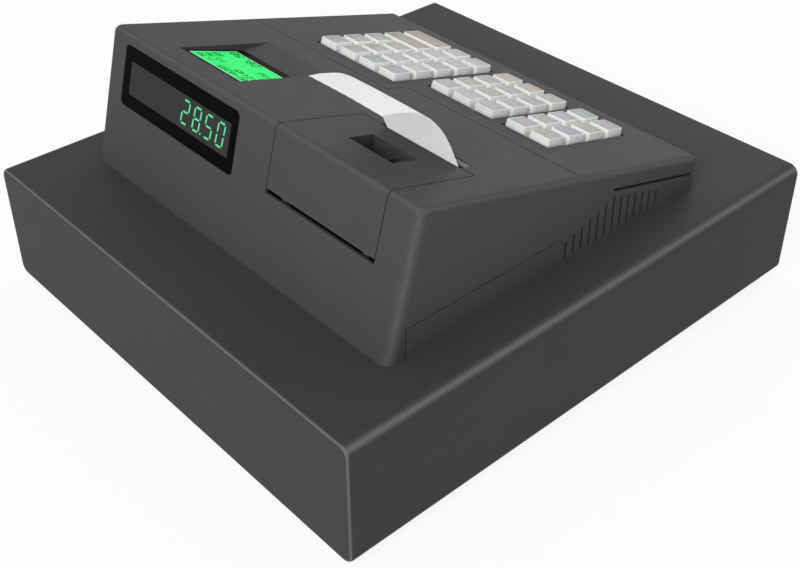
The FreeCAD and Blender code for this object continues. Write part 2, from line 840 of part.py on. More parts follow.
def make_upper_case():
    """Rear housing: rear face, sides down to the seam, and the top behind the keyboard."""
    body = new_body("upper_case")
    seam = side_seam_line()
    corner = rear_top_corner()
    rise = (seam[2][1] - seam[1][1]) / (seam[1][0] - seam[2][0])
    front_y = -S.top_seam_front
    low_front = seam[1][1] + (seam[1][0] - front_y) * rise
    outline = (
        (S.terminal_rear, BASE),
        corner,
        top_at(front_y),
        (front_y, low_front),
        seam[1],
        seam[0],
        (S.side_seam_rear, BASE),
    )
    across_pad(body, -HALF_TERMINAL, HALF_TERMINAL, outline)
    round_edges(body, S.case_corner_radius,
                lambda middle, way: near(abs(middle.x), HALF_TERMINAL)
                and near(abs(way.z), LEAN_COSINE) and middle.y > S.side_seam_rear.value)
    round_edges(body, S.case_top_radius,
                lambda middle, way: near(abs(middle.x), HALF_TERMINAL) and near(abs(way.y), TILT_COSINE))
    inner_half = HALF_TERMINAL - S.case_wall
    wall = S.case_wall
    inner_corner = rear_top_corner(wall)
    hollow = (
        rear_at(BASE - S.cut_overrun, wall),
        inner_corner,
        top_at(front_y - S.cut_overrun, wall),
        (front_y - S.cut_overrun, BASE - S.cut_overrun),
    )
    across_cut(body, -inner_half, inner_half, hollow)
    dish_low = S.dish_centre - S.dish_width / 2
    dish_high = S.dish_centre + S.dish_width / 2
    under_rear, under_front = dish_underside_ends()
    dish_block = (
        top_at(under_rear[0], wall / 2),
        top_at(*under_rear),
        top_at(*under_front),
        top_at(S.dish_front - wall, wall * 2),
        top_at(S.dish_front - wall * 2, wall / 2),
    )
    across_pad(body, dish_low - wall, dish_high + wall, dish_block)
    dish = (
        top_at(S.dish_rear, -S.cut_overrun),
        top_at(S.dish_rear, S.glass_inset),
        top_at(S.dish_bend, S.dish_depth),
        top_at(S.dish_front),
        top_at(S.dish_front, -S.cut_overrun),
    )
    across_cut(body, dish_low, dish_high, dish)
    opening = (
        top_at(S.dish_rear - S.glass_margin, -S.cut_overrun),
        top_at(S.dish_rear - S.glass_margin, S.dish_depth * 2 + S.case_wall),
        top_at(S.dish_bend + S.glass_margin, S.dish_depth * 2 + S.case_wall),
        top_at(S.dish_bend + S.glass_margin, -S.cut_overrun),
    )
    across_cut(body, dish_low + S.glass_margin, dish_high - S.glass_margin, opening)
    upright_cut(body, BASE, BASE + S.terminal_rear, top_seam_plan())
    window_low = S.window_centre - S.window_width / 2
    window_high = S.window_centre + S.window_width / 2
    window_top = S.window_base + S.window_height
    window = (
        rear_point(S.window_base, -S.cut_overrun),
        rear_point(S.window_base, S.cut_overrun),
        rear_point(window_top, S.cut_overrun),
        rear_point(window_top, -S.cut_overrun),
    )
    across_cut(body, window_low, window_high, window)
    round_edges(body, S.window_corner + S.running_gap,
                lambda middle, way: near(abs(way.y), LEAN_COSINE)
                and (near(middle.x, window_low) or near(middle.x, window_high)))
    cover_low = -S.cover_centre - S.cover_width / 2 - S.seam_gap
    cover_high = S.cover_width / 2 - S.cover_centre + S.seam_gap
    bay_front = S.cover_front - S.seam_gap
    bay = (
        rear_point(S.slot_base, -S.cut_overrun),
        rear_point(S.slot_base, S.cut_overrun * 2),
        top_at(bay_front, S.cut_overrun * 2),
        top_at(bay_front, -S.cut_overrun * 2),
        (S.terminal_rear, corner[1] + S.cut_overrun * 2),
    )
    across_cut(body, cover_low, cover_high, bay)
    slot_low = -S.paper_slot_centre - S.paper_slot_width / 2
    slot_high = S.paper_slot_width / 2 - S.paper_slot_centre
    slot = (
        top_at(bay_front + S.cut_overrun, -S.cut_overrun),
        top_at(bay_front + S.cut_overrun, S.cut_overrun * 2),
        top_at(S.paper_slot_front, S.cut_overrun * 2),
        top_at(S.paper_slot_front, -S.cut_overrun),
    )
    across_cut(body, slot_low, slot_high, slot)


def key_columns(block):
    """x of the centre of each column of a block, from the operator's right."""
    _, columns, _, centre_name, side = block
    centre = side * getattr(S, centre_name)
    return [centre + S.key_pitch * ((columns - 1) / 2 - index) for index in range(columns)]


def row_run(row):
    """Distance up the slope from the front edge to the middle of a row."""
    return S.key_rear_row - S.key_row_pitch * (row - 1)


def make_keyboard_frame():
    """Front top panel with a stepped well round each block of keys."""
    body = new_body("keyboard_frame")
    seam = side_seam_line()
    back = S.top_seam_back
    rise = (seam[2][1] - seam[1][1]) / (seam[1][0] - seam[2][0])
    outline = (
        top_at(back),
        top_at(-S.terminal_front),
        seam[3],
        seam[2],
        (back, seam[1][1] + (seam[1][0] - back) * rise),
    )
    across_pad(body, -HALF_TERMINAL, HALF_TERMINAL, outline)
    round_edges(body, S.case_front_radius,
                lambda middle, way: along(way, "z") and near(middle.y, -S.terminal_front)
                and near(abs(middle.x), HALF_TERMINAL))
    round_edges(body, S.case_top_radius,
                lambda middle, way: near(abs(middle.x), HALF_TERMINAL)
                and near(abs(way.y), TILT_COSINE) and middle.z > top_at(middle_y_of_frame(), S.case_wall)[1].value)
    inner_half = HALF_TERMINAL - S.case_wall
    hollow = (
        top_at(back + S.cut_overrun, S.case_wall),
        top_at(S.case_wall - S.terminal_front, S.case_wall),
        (S.case_wall - S.terminal_front, BASE),
        (back + S.cut_overrun, BASE),
    )
    across_cut(body, -inner_half, inner_half, hollow)
    far = HALF_TERMINAL + S.cut_overrun
    edge = HALF_TERMINAL - S.case_top_radius
    gap = S.seam_gap
    step = S.top_seam_step + gap
    front = -S.top_seam_front
    behind_seam = (
        (edge, S.terminal_rear),
        (edge, back - gap),
        (step, back - gap),
        (step, front - gap + S.top_seam_bevel),
        (step - S.top_seam_bevel, front - gap),
        (-edge, front - gap),
        (-edge, front),
        (-far, front),
        (-far, S.terminal_rear),
    )
    upright_cut(body, BASE, BASE + S.terminal_rear, behind_seam)
    sketch = sketch_on_slope(body, top_point(ZERO, -S.cut_overrun), S.top_tilt)
    half_key = S.key_size / 2 + S.key_margin
    for block in KEY_BLOCKS:
        centres = key_columns(block)
        add_rectangle(sketch, centres[-1] - half_key, centres[0] + half_key,
                      row_run(KEY_ROWS) - half_key, row_run(block[2]) + half_key)
    extrude(body, sketch, "Pocket", S.cut_overrun * 3)
    bosses = sketch_on_slope(body, top_point(ZERO, S.board_depth), S.top_tilt)
    for x_centre, run in boss_places():
        half = S.boss_size / 2
        add_rectangle(bosses, x_centre - half, x_centre + half, run - half, run + half)
    extrude(body, bosses, "Pad", S.board_depth - S.case_wall / 2)


def middle_y_of_frame():
    return -(S.terminal_front / 2)


def board_edges():
    """Low and high x, then low and high run, of the keyboard board."""
    half_key = S.key_size / 2 + S.board_margin
    left = key_columns(KEY_BLOCKS[2])[-1] - half_key - S.boss_size
    right = key_columns(KEY_BLOCKS[0])[0] + half_key + S.boss_size
    return left, right, row_run(KEY_ROWS) - half_key, row_run(1) + half_key


def boss_places():
    """(x, run) of the six bosses that the keyboard board is screwed to."""
    left, right, low, high = board_edges()
    half = S.boss_size / 2
    gap_run = row_run(1)
    between = (key_columns(KEY_BLOCKS[0])[-1] + key_columns(KEY_BLOCKS[1])[0]) / 2
    return (
        (left + half, low + half),
        (left + half, gap_run),
        (right - half, low + half),
        (right - half, high - half),
        (between - S.key_pitch / 2 - S.boss_size, gap_run),
    )


def make_keyboard_board():
    """Printed board under the keys, with a guide hole for each key stem."""
    body = new_body("keyboard_board")
    left, right, low, high = board_edges()
    sketch = sketch_on_slope(body, top_point(ZERO, S.board_depth + S.board_thickness), S.top_tilt)
    add_rectangle(sketch, left, right, low, high)
    extrude(body, sketch, "Pad", S.board_thickness)
    half = S.key_stem / 2 + S.board_stem_gap
    for block in KEY_BLOCKS:
        for row in range(block[2], KEY_ROWS + 1):
            run = row_run(row)
            holes = sketch_on_slope(body, top_point(ZERO, S.board_depth), S.top_tilt)
            for name, x_centre, key_row, _ in key_places():
                if key_row == row and name.startswith(f"key_{block[0]}"):
                    add_rectangle(holes, x_centre - half, x_centre + half, run - half, run + half)
            extrude(body, holes, "Pocket", S.board_thickness * 2)


def key_places():
    """(name, x of the centre, row, width of the cap's foot) of each key."""
    places = []
    for block in KEY_BLOCKS:
        name, columns, first_row, _, _ = block
        centres = key_columns(block)
        for row in range(first_row, KEY_ROWS + 1):
            start = 0
            if name == "a" and row in WIDE_KEY_ROWS:
                wide_centre = (centres[0] + centres[1]) / 2
                places.append((f"key_{name}{row}_wide", wide_centre, row, S.key_size + S.key_pitch))
                start = 2
            for column in range(start, columns):
                places.append((f"key_{name}{row}_{column + 1}", centres[column], row, S.key_size))
    return places


def make_key(name, x_centre, row, width):
    """Tapered cap with a skirt below the panel and a square stem through the board."""
    body = new_body(name)
    half_x = width / 2
    half_y = S.key_size / 2
    upright_pad(body, -S.key_skirt, ZERO, box(-half_x, half_x, -half_y, half_y))
    sketch = sketch_on(body, "XY_Plane")
    add_rectangle(sketch, -half_x, half_x, -half_y, half_y)
    extrude(body, sketch, "Pad", S.key_rise, -S.key_taper)
    fillet(body, S.key_edge_radius,
           edges_within(body, lambda bounds: bounds.ZMax > S.key_rise.value - NEAR))
    stem = S.key_stem / 2
    upright_pad(body, -S.key_skirt - S.key_stem_length, -S.key_skirt, box(-stem, stem, -stem, stem))
    place_on_top(body, x_centre, top_point(row_run(row)))


# Displays.
def depth_between(y, start, end):
    """Depth at the place y on the line between two (y, depth) points under the top."""
    return start[1] + (end[1] - start[1]) * ((y - start[0]) / (end[0] - start[0]))


def dish_floor(y):
    """Depth of the dish's floor below the sloping top, at the place y."""
    return depth_between(y, (S.dish_rear, S.glass_inset), (S.dish_bend, S.dish_depth))


def dish_underside_ends():
    """(y, depth) of both ends of the underside of the dish's thickened floor."""
    return (
        (S.dish_rear + S.case_wall * 2, S.case_wall * 2),
        (S.dish_bend - S.case_wall, S.dish_depth + S.case_wall),
    )


def make_customer_window():
    """Dark window plate set in the rear face from inside, with its flange."""
    body = new_body("customer_window")
    gap = S.running_gap
    low = S.window_centre - S.window_width / 2 + gap
    high = S.window_centre + S.window_width / 2 - gap
    base = S.window_base + gap
    top = S.window_base + S.window_height - gap
    back = S.case_wall + gap
    plate = (
        rear_point(base, S.window_inset),
        rear_point(base, back),
        rear_point(top, back),
        rear_point(top, S.window_inset),
    )
    across_pad(body, low, high, plate)
    round_edges(body, S.window_corner,
                lambda middle, way: not along(way, "x") and near(abs(way.y), LEAN_COSINE))
    rim = S.window_flange
    flange_back = back + S.window_flange_thickness
    flange = (
        rear_point(base - rim, back),
        rear_point(base - rim, flange_back),
        rear_point(top + rim, flange_back),
        rear_point(top + rim, back),
    )
    across_pad(body, low - rim, high + rim, flange)


def make_customer_display():
    """Digit module behind the window."""
    body = new_body("customer_display")
    margin = S.module_margin
    low = S.window_centre - S.window_width / 2 + margin
    high = S.window_centre + S.window_width / 2 - margin
    base = S.window_base + margin
    top = S.window_base + S.window_height - margin
    front = S.case_wall + S.running_gap + S.window_flange_thickness
    outline = (
        rear_point(base, front),
        rear_point(base, front + S.module_depth),
        rear_point(top, front + S.module_depth),
        rear_point(top, front),
    )
    across_pad(body, low, high, outline)
    board_front = front + S.module_depth / 2
    board = (
        rear_point(base - margin / 2, board_front),
        rear_point(base - margin / 2, board_front + S.board_thickness),
        rear_point(top + margin / 2, board_front + S.board_thickness),
        rear_point(top + margin / 2, board_front),
    )
    across_pad(body, low - margin / 2, high + margin / 2, board)


def make_operator_display():
    """Lit panel lying in the dished recess, with its module under the floor."""
    body = new_body("operator_display")
    gap = S.running_gap
    edge = S.glass_margin + gap
    low = S.dish_centre - S.dish_width / 2 + edge
    high = S.dish_centre + S.dish_width / 2 - edge
    rear = S.dish_rear - edge
    front = S.dish_bend + edge
    ends = dish_underside_ends()
    rim = S.display_flange
    module_rear = rear + rim
    module_front = front - rim
    module_rear_top = depth_between(module_rear, *ends) + gap
    module_front_top = depth_between(module_front, *ends) + gap
    module = (
        top_at(module_rear, module_rear_top),
        top_at(module_rear, module_rear_top + S.display_board_depth),
        top_at(module_front, module_front_top + S.display_board_depth),
        top_at(module_front, module_front_top),
    )
    across_pad(body, low - rim, high + rim, module)
    glass = (
        top_at(rear, dish_floor(rear) + S.window_inset),
        top_at(rear, module_rear_top + S.glass_thickness),
        top_at(front, module_front_top + S.glass_thickness),
        top_at(front, dish_floor(front) + S.window_inset),
    )
    across_pad(body, low, high, glass)


# Printer.
def make_printer_cover():
    """Hinged cover over the paper bay: top, rear leg, side flanges, grip, hinge ears, bearings."""
    body = new_body("printer_cover")
    low = -S.cover_centre - S.cover_width / 2
    high = S.cover_width / 2 - S.cover_centre
    wall = S.cover_wall
    corner = rear_top_corner()
    inner = rear_top_corner(wall)
    shell = (
        top_at(S.cover_front),
        corner,
        rear_point(S.cover_base),
        rear_point(S.cover_base, wall),
        inner,
        top_at(S.cover_front, wall),
    )
    across_pad(body, low, high, shell)
    round_edges(body, S.case_top_radius,
                lambda middle, way: along(way, "x") and near(middle.y, corner[0])
                and near(middle.z, corner[1]))
    deep = S.cover_flange_depth
    deep_corner = rear_top_corner(deep)
    rib = (
        top_at(S.cover_front, wall / 2),
        rear_top_corner(wall / 2),
        rear_point(S.cover_base, wall / 2),
        rear_point(S.cover_base, deep),
        deep_corner,
        top_at(S.cover_front, deep),
    )
    across_pad(body, low, low + S.cover_flange_wall, rib)
    across_pad(body, high - S.cover_flange_wall, high, rib)
    grip_low = -S.grip_centre - S.grip_width / 2
    grip_high = S.grip_width / 2 - S.grip_centre
    skin = S.grip_wall
    cup = (
        top_at(S.grip_rear + skin, wall / 2),
        top_at(S.grip_rear + skin, S.grip_depth + skin),
        top_at(S.grip_front - skin, S.grip_depth + skin),
        top_at(S.grip_front - skin, wall / 2),
    )
    across_pad(body, grip_low - skin, grip_high + skin, cup)
    recess = (
        top_at(S.grip_rear, -S.cut_overrun),
        top_at(S.grip_rear, S.grip_depth),
        top_at(S.grip_front, S.grip_depth),
        top_at(S.grip_front, -S.cut_overrun),
    )
    across_cut(body, grip_low, grip_high, recess)
    rib_mid = -S.grip_centre
    grip_rib = (
        top_at(S.grip_rear, S.grip_depth - S.grip_rib_height),
        top_at(S.grip_rear, S.grip_depth + skin / 2),
        top_at(S.grip_front, S.grip_depth + skin / 2),
        top_at(S.grip_front, S.grip_depth - S.grip_rib_height),
    )
    across_pad(body, rib_mid - S.grip_rib_width / 2, rib_mid + S.grip_rib_width / 2, grip_rib)
    hinge = rear_point(S.hinge_rise, S.hinge_depth)
    link = (
        rear_point(S.hinge_rise, S.hinge_depth - S.hinge_ear_radius / 2),
        rear_point(S.cover_base + wall, wall / 2),
        rear_point(S.cover_base + wall, S.cover_flange_depth),
        rear_point(S.hinge_rise, S.hinge_depth + S.hinge_ear_radius / 2),
    )
    for ear_low in hinge_ear_lows():
        ear_high = ear_low + S.hinge_ear_width
        across_pad(body, ear_low, ear_high, link)
        across_pad(body, ear_low, ear_high, (hinge[0], hinge[1], S.hinge_ear_radius))
        across_cut(body, ear_low, ear_high, (hinge[0], hinge[1], S.hinge_pin_radius + S.shaft_gap))
    axis = platen_axis()
    hanger = (
        top_at(axis[0] - S.bearing_radius, wall / 2),
        (axis[0] - S.bearing_radius, axis[1]),
        (axis[0] + S.bearing_radius, axis[1]),
        top_at(axis[0] + S.bearing_radius, wall / 2),
    )
    for bearing_low in bearing_lows():
        bearing_high = bearing_low + S.bearing_width
        across_pad(body, bearing_low, bearing_high, hanger)
        across_pad(body, bearing_low, bearing_high, (axis[0], axis[1], S.bearing_radius))
        across_cut(body, bearing_low, bearing_high,
                   (axis[0], axis[1], S.platen_shaft_radius + S.shaft_gap))


def hinge_ear_lows():
    """Low x of the two hinge ears, just outside the side plates of the mechanism."""
    plate_low, plate_high = frame_plate_outsides()
    return plate_low - S.running_gap - S.hinge_ear_width, plate_high + S.running_gap


def frame_plate_outsides():
    """Outer x of the two side plates of the mechanism."""
    half = S.paper_slot_width / 2 - S.running_gap
    return -S.paper_slot_centre - half, half - S.paper_slot_centre


def platen_axis():
    """(y, z) of the platen's axis, under the front edge of the cover."""
    return top_at(paper_line() + S.platen_radius + S.shaft_gap * 2, S.platen_drop)


def paper_line():
    """y of the back of the paper where it rises between the print head and the platen."""
    return S.cover_front - S.seam_gap / 2 - S.paper_thickness


def bearing_lows():
    """Low x of the two platen bearings, one at each end of the roller."""
    half = S.platen_length / 2 + S.running_gap
    return -S.paper_slot_centre - half - S.bearing_width, half - S.paper_slot_centre


def make_platen_roller():
    """Rubber roller with its shaft, hung in the cover."""
    body = new_body("platen_roller")
    axis = platen_axis()
    middle = -S.paper_slot_centre
    half = S.platen_length / 2
    across_pad(body, middle - half, middle + half, (axis[0], axis[1], S.platen_radius))
    shaft_half = half + S.running_gap + S.bearing_width
    across_pad(body, middle - shaft_half, middle + shaft_half,
               (axis[0], axis[1], S.platen_shaft_radius))


def make_printer_frame():
    """Paper bucket with its rear wall, side plates with hinge pins, head block and tear bar."""
    body = new_body("printer_frame")
    low, high = frame_plate_outsides()
    inner_low = low + S.frame_plate
    inner_high = high - S.frame_plate
    reach = S.roll_radius + S.running_gap
    outer = reach + S.bucket_wall
    axis_y = S.roll_axis_y
    axis_z = BASE + S.roll_axis_height
    floor = BASE + S.case_wall
    cradle = box(axis_y - outer, axis_y + outer, floor, axis_z)
    across_pad(body, low, high, cradle)
    across_cut(body, inner_low, inner_high, (axis_y, axis_z, reach))
    across_cut(body, inner_low, inner_high,
               box(axis_y - reach, axis_y + reach, axis_z, axis_z + S.cut_overrun))
    hinge = rear_point(S.hinge_rise, S.hinge_depth)
    head_back = paper_line() - S.paper_thickness - S.shaft_gap * 2
    head_front = S.paper_slot_front + S.seam_gap
    head_low = platen_axis()[1] - S.print_head_height / 2
    plate_back = rear_point(S.hinge_rise - S.hinge_ear_radius, S.case_wall + S.seam_gap)
    plate = (
        (axis_y + outer, axis_z - S.bucket_wall),
        plate_back,
        rear_point(S.hinge_rise + S.hinge_pin_radius, S.case_wall + S.seam_gap),
        rear_point(S.hinge_rise + S.hinge_ear_radius * 2, S.hinge_depth * 2),
        (axis_y + outer / 2, axis_z + S.bucket_wall),
        (axis_y - outer / 2, axis_z + S.bucket_wall),
        (head_back, head_low + S.print_head_height / 3),
        (head_front, head_low + S.print_head_height / 3),
        (head_front, head_low - S.bucket_wall),
        (axis_y - outer, axis_z - S.bucket_wall),
    )
    across_pad(body, low, inner_low, plate)
    across_pad(body, inner_high, high, plate)
    head = (
        (head_front, head_low),
        (head_front, top_at(head_front, S.tear_bar_height)[1]),
        (head_front + S.tear_bar_depth, top_at(head_front + S.tear_bar_depth, S.tear_bar_height)[1]),
        (head_back, platen_axis()[1] + S.print_head_height / 3),
        (head_back, head_low),
    )
    across_pad(body, low, high, head)
    front_wall = (
        (axis_y - outer, axis_z - S.bucket_wall),
        (head_front, head_low),
        (head_front + S.bucket_wall, head_low),
        (axis_y - outer + S.bucket_wall, axis_z - S.bucket_wall),
    )
    across_pad(body, low, high, front_wall)
    shade_depth = S.hinge_depth + S.hinge_ear_radius + S.running_gap
    shade_rise = S.cover_base + S.bucket_wall
    shade = (
        (axis_y + reach, axis_z - S.bucket_wall),
        rear_point(shade_rise, shade_depth + S.bucket_wall),
        rear_point(shade_rise, shade_depth),
        (axis_y + outer, axis_z - S.bucket_wall),
    )
    across_pad(body, low, high, shade)
    teeth_low = top_at(head_front, S.tear_bar_height)
    tear = (
        teeth_low,
        top_at(head_front, S.window_inset),
        top_at(head_front + S.tear_bar_depth, S.window_inset),
        top_at(head_front + S.tear_bar_depth, S.tear_bar_height),
    )
    slot_half = S.running_gap
    across_pad(body, low + slot_half, high - slot_half, tear)
    pins_low, pins_high = hinge_ear_lows()
    across_pad(body, pins_low, low + S.frame_plate, (hinge[0], hinge[1], S.hinge_pin_radius))
    across_pad(body, high - S.frame_plate, pins_high + S.hinge_ear_width,
               (hinge[0], hinge[1], S.hinge_pin_radius))


def make_paper_roll():
    """Roll of receipt paper on its card core."""
    body = new_body("paper_roll")
    axis_z = BASE + S.roll_axis_height
    middle = -S.paper_centre
    half = S.paper_width / 2
    across_pad(body, middle - half, middle + half, (S.roll_axis_y, axis_z, S.roll_radius))
    across_cut(body, middle - half, middle + half, (S.roll_axis_y, axis_z, S.roll_core_radius))


def make_receipt():
    """Free end of the paper: up past the print head, through the slot, curled to the back."""
    start_y, start_z = top_at(paper_line())
    reach = S.receipt_reach.value
    height = S.receipt_height.value
    points = [
        FreeCAD.Vector(0, start_y.value + reach * back, start_z.value + height * up)
        for back, up in RECEIPT_CURL_SHARES
    ]
    low_z = platen_axis()[1].value
    head = FreeCAD.Vector(0, start_y.value, low_z)
    curl = Part.BSplineCurve()
    curl.interpolate(points, InitialTangent=FreeCAD.Vector(0, 0, 1),
                     FinalTangent=FreeCAD.Vector(0, 1, 0))
    path = Part.Wire([Part.LineSegment(head, points[0]).toShape(), curl.toShape()])
    middle = -S.paper_centre.value
    half = S.paper_width.value / 2
    path.translate(FreeCAD.Vector(middle - half, 0, 0))
    sheet = path.extrude(FreeCAD.Vector(2 * half, 0, 0))
    solid = sheet.makeOffsetShape(S.paper_thickness.value, NEAR, fill=True)
    feature = DOC.addObject("Part::Feature", "receipt_strip")
    feature.Label = "receipt_strip"
    feature.Shape = solid if solid.ShapeType == "Solid" else Part.makeSolid(solid.Shells[0])
    PARTS.append(feature)


def build():
    make_feet()
    make_drawer_casing()
    make_drawer_tray()
    make_drawer_striker()
    make_till_insert()
    for number, column in enumerate(till_cell_columns(), start=1):
        make_note_clip(number, column)
    make_drawer_lock()
    make_drawer_latch()
    make_lower_case()
    make_upper_case()
    make_keyboard_frame()
    make_keyboard_board()
    for key in key_places():
        make_key(*key)
    make_customer_window()
    make_customer_display()
    make_operator_display()
    make_printer_cover()
    make_platen_roller()
    make_printer_frame()
    make_paper_roll()
    make_receipt()
    DOC.recompute()


def check_and_export():
    """Stop on a failed feature or a bad solid, then write each piece to parts/."""
    for item in DOC.Objects:
        if "Invalid" in item.State or "Error" in item.State:
            raise RuntimeError(f"{item.Label} did not rebuild: {item.State}")
    os.makedirs("parts", exist_ok=True)
    for part in PARTS:
        shape = part.Shape
        if shape.isNull() or not shape.isValid() or not shape.Solids:
            raise RuntimeError(f"{part.Label} has no valid solid")
        print(f"{part.Label}: {len(shape.Solids)} solid, {shape.Volume / 1000:.1f} cm3")
        shape.exportStep(f"parts/{part.Label}.step")


build()
check_and_export()
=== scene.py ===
"""Looks of the ticket register: finishes, keys, displays, paper, small fittings, light and camera."""
import logging
import math
from dataclasses import dataclass, field
from enum import Enum
from functools import cached_property
from typing import Callable, Iterable, Optional, Sequence, Union

import bmesh
import bpy
from mathutils import Matrix, Vector


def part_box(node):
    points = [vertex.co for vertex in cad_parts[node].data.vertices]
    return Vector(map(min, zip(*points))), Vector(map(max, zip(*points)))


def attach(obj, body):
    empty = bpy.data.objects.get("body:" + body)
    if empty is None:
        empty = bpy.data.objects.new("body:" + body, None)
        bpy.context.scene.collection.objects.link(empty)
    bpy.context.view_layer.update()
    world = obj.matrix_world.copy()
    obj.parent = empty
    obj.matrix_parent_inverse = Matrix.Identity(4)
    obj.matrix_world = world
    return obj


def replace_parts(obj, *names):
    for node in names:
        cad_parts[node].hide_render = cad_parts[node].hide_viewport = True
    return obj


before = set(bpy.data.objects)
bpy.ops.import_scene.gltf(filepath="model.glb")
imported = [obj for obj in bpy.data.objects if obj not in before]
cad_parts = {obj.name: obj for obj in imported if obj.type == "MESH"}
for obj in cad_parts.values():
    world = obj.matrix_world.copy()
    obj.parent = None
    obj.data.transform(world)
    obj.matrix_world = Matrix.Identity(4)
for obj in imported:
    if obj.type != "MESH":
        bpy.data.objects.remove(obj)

LOG = logging.getLogger("ticket_register")
MM = 0.001
RGB = tuple[float, float, float]
Outline = list[tuple[float, float]]
Operand = Union["Term", float]
# Main faces of the shells; turning away from them marks the round edges that get a painted highlight.
SQUARE_FLATS = ((1, 0, 0), (-1, 0, 0), (0, 1, 0), (0, -1, 0), (0, 0, 1), (0, 0, -1))
CASE_FLATS = (
    (1, 0, 0), (-1, 0, 0), (0, -0.269, 0.963), (0, 0.9645, 0.264), (0, -1, 0), (0, 0, -1))
FILLET_TURNING = (0.01, 0.29)
EDGE_TURNING = (0.01, 0.24)
DISPLAY_SHINE = 0.01
SOFT_CREASE = 32
SHARP_CREASE = 12
SAME_SPOT = 1e-7


def display_colour(red: float, green: float, blue: float) -> RGB:
    """Linear colour of a colour named in display steps.

    Args:
        red: Red, 0 to 255.
        green: Green, 0 to 255.
        blue: Blue, 0 to 255.

    Returns:
        The linear red, green and blue.
    """
    def linear(step: float) -> float:
        """Linear level of one display step."""
        share = step / 255
        return share / 12.92 if share <= 0.04045 else ((share + 0.055) / 1.055) ** 2.4

    return linear(red), linear(green), linear(blue)


def even(step: float) -> RGB:
    """Neutral linear colour of one display step."""
    return display_colour(step, step, step)


def shade(colour: RGB, share: float) -> RGB:
    """The colour made darker or lighter by a share."""
    return tuple(min(1.0, level * share) for level in colour)


def show(name: str, data: bpy.types.ID) -> bpy.types.Object:
    """Put a new object into the scene."""
    item = bpy.data.objects.new(name, data)
    bpy.context.scene.collection.objects.link(item)
    return item


class Term:
    """A shader socket that can be used in Python expressions."""

    def __init__(self, graph: "Graph", socket: bpy.types.NodeSocket) -> None:
        """Wrap a socket.

        Args:
            graph: The graph that the socket belongs to.
            socket: The output socket.
        """
        self.graph = graph
        self.socket = socket

    def _maths(self, operation: str, first: Operand, second: Operand) -> "Term":
        """Add a Math node for two values."""
        return self.graph.node("ShaderNodeMath", {"operation": operation}, {0: first, 1: second})

    def __add__(self, other: Operand) -> "Term":
        """Sum."""
        return self._maths("ADD", self, other)

    __radd__ = __add__

    def __sub__(self, other: Operand) -> "Term":
        """Difference."""
        return self._maths("SUBTRACT", self, other)

    def __rsub__(self, other: Operand) -> "Term":
        """Difference from a number."""
        return self._maths("SUBTRACT", other, self)

    def __mul__(self, other: Operand) -> "Term":
        """Product."""
        return self._maths("MULTIPLY", self, other)

    __rmul__ = __mul__

    def __pow__(self, other: Operand) -> "Term":
        """Power."""
        return self._maths("POWER", self, other)

    def most(self, other: Operand) -> "Term":
        """The greater of two values."""
        return self._maths("MAXIMUM", self, other)

    def wave(self) -> "Term":
        """Sine of the value, in radians."""
        return self.graph.node("ShaderNodeMath", {"operation": "SINE"}, {0: self})

    def within(self, low: float, high: float) -> "Term":
        """Smooth 0 to 1 as the value goes from low to high.

        Args:
            low: Value that gives 0.
            high: Value that gives 1.

        Returns:
            The smoothed share.
        """
        settings = {"interpolation_type": "SMOOTHSTEP"}
        return self.graph.node(
            "ShaderNodeMapRange", settings, {"Value": self, "From Min": low, "From Max": high})


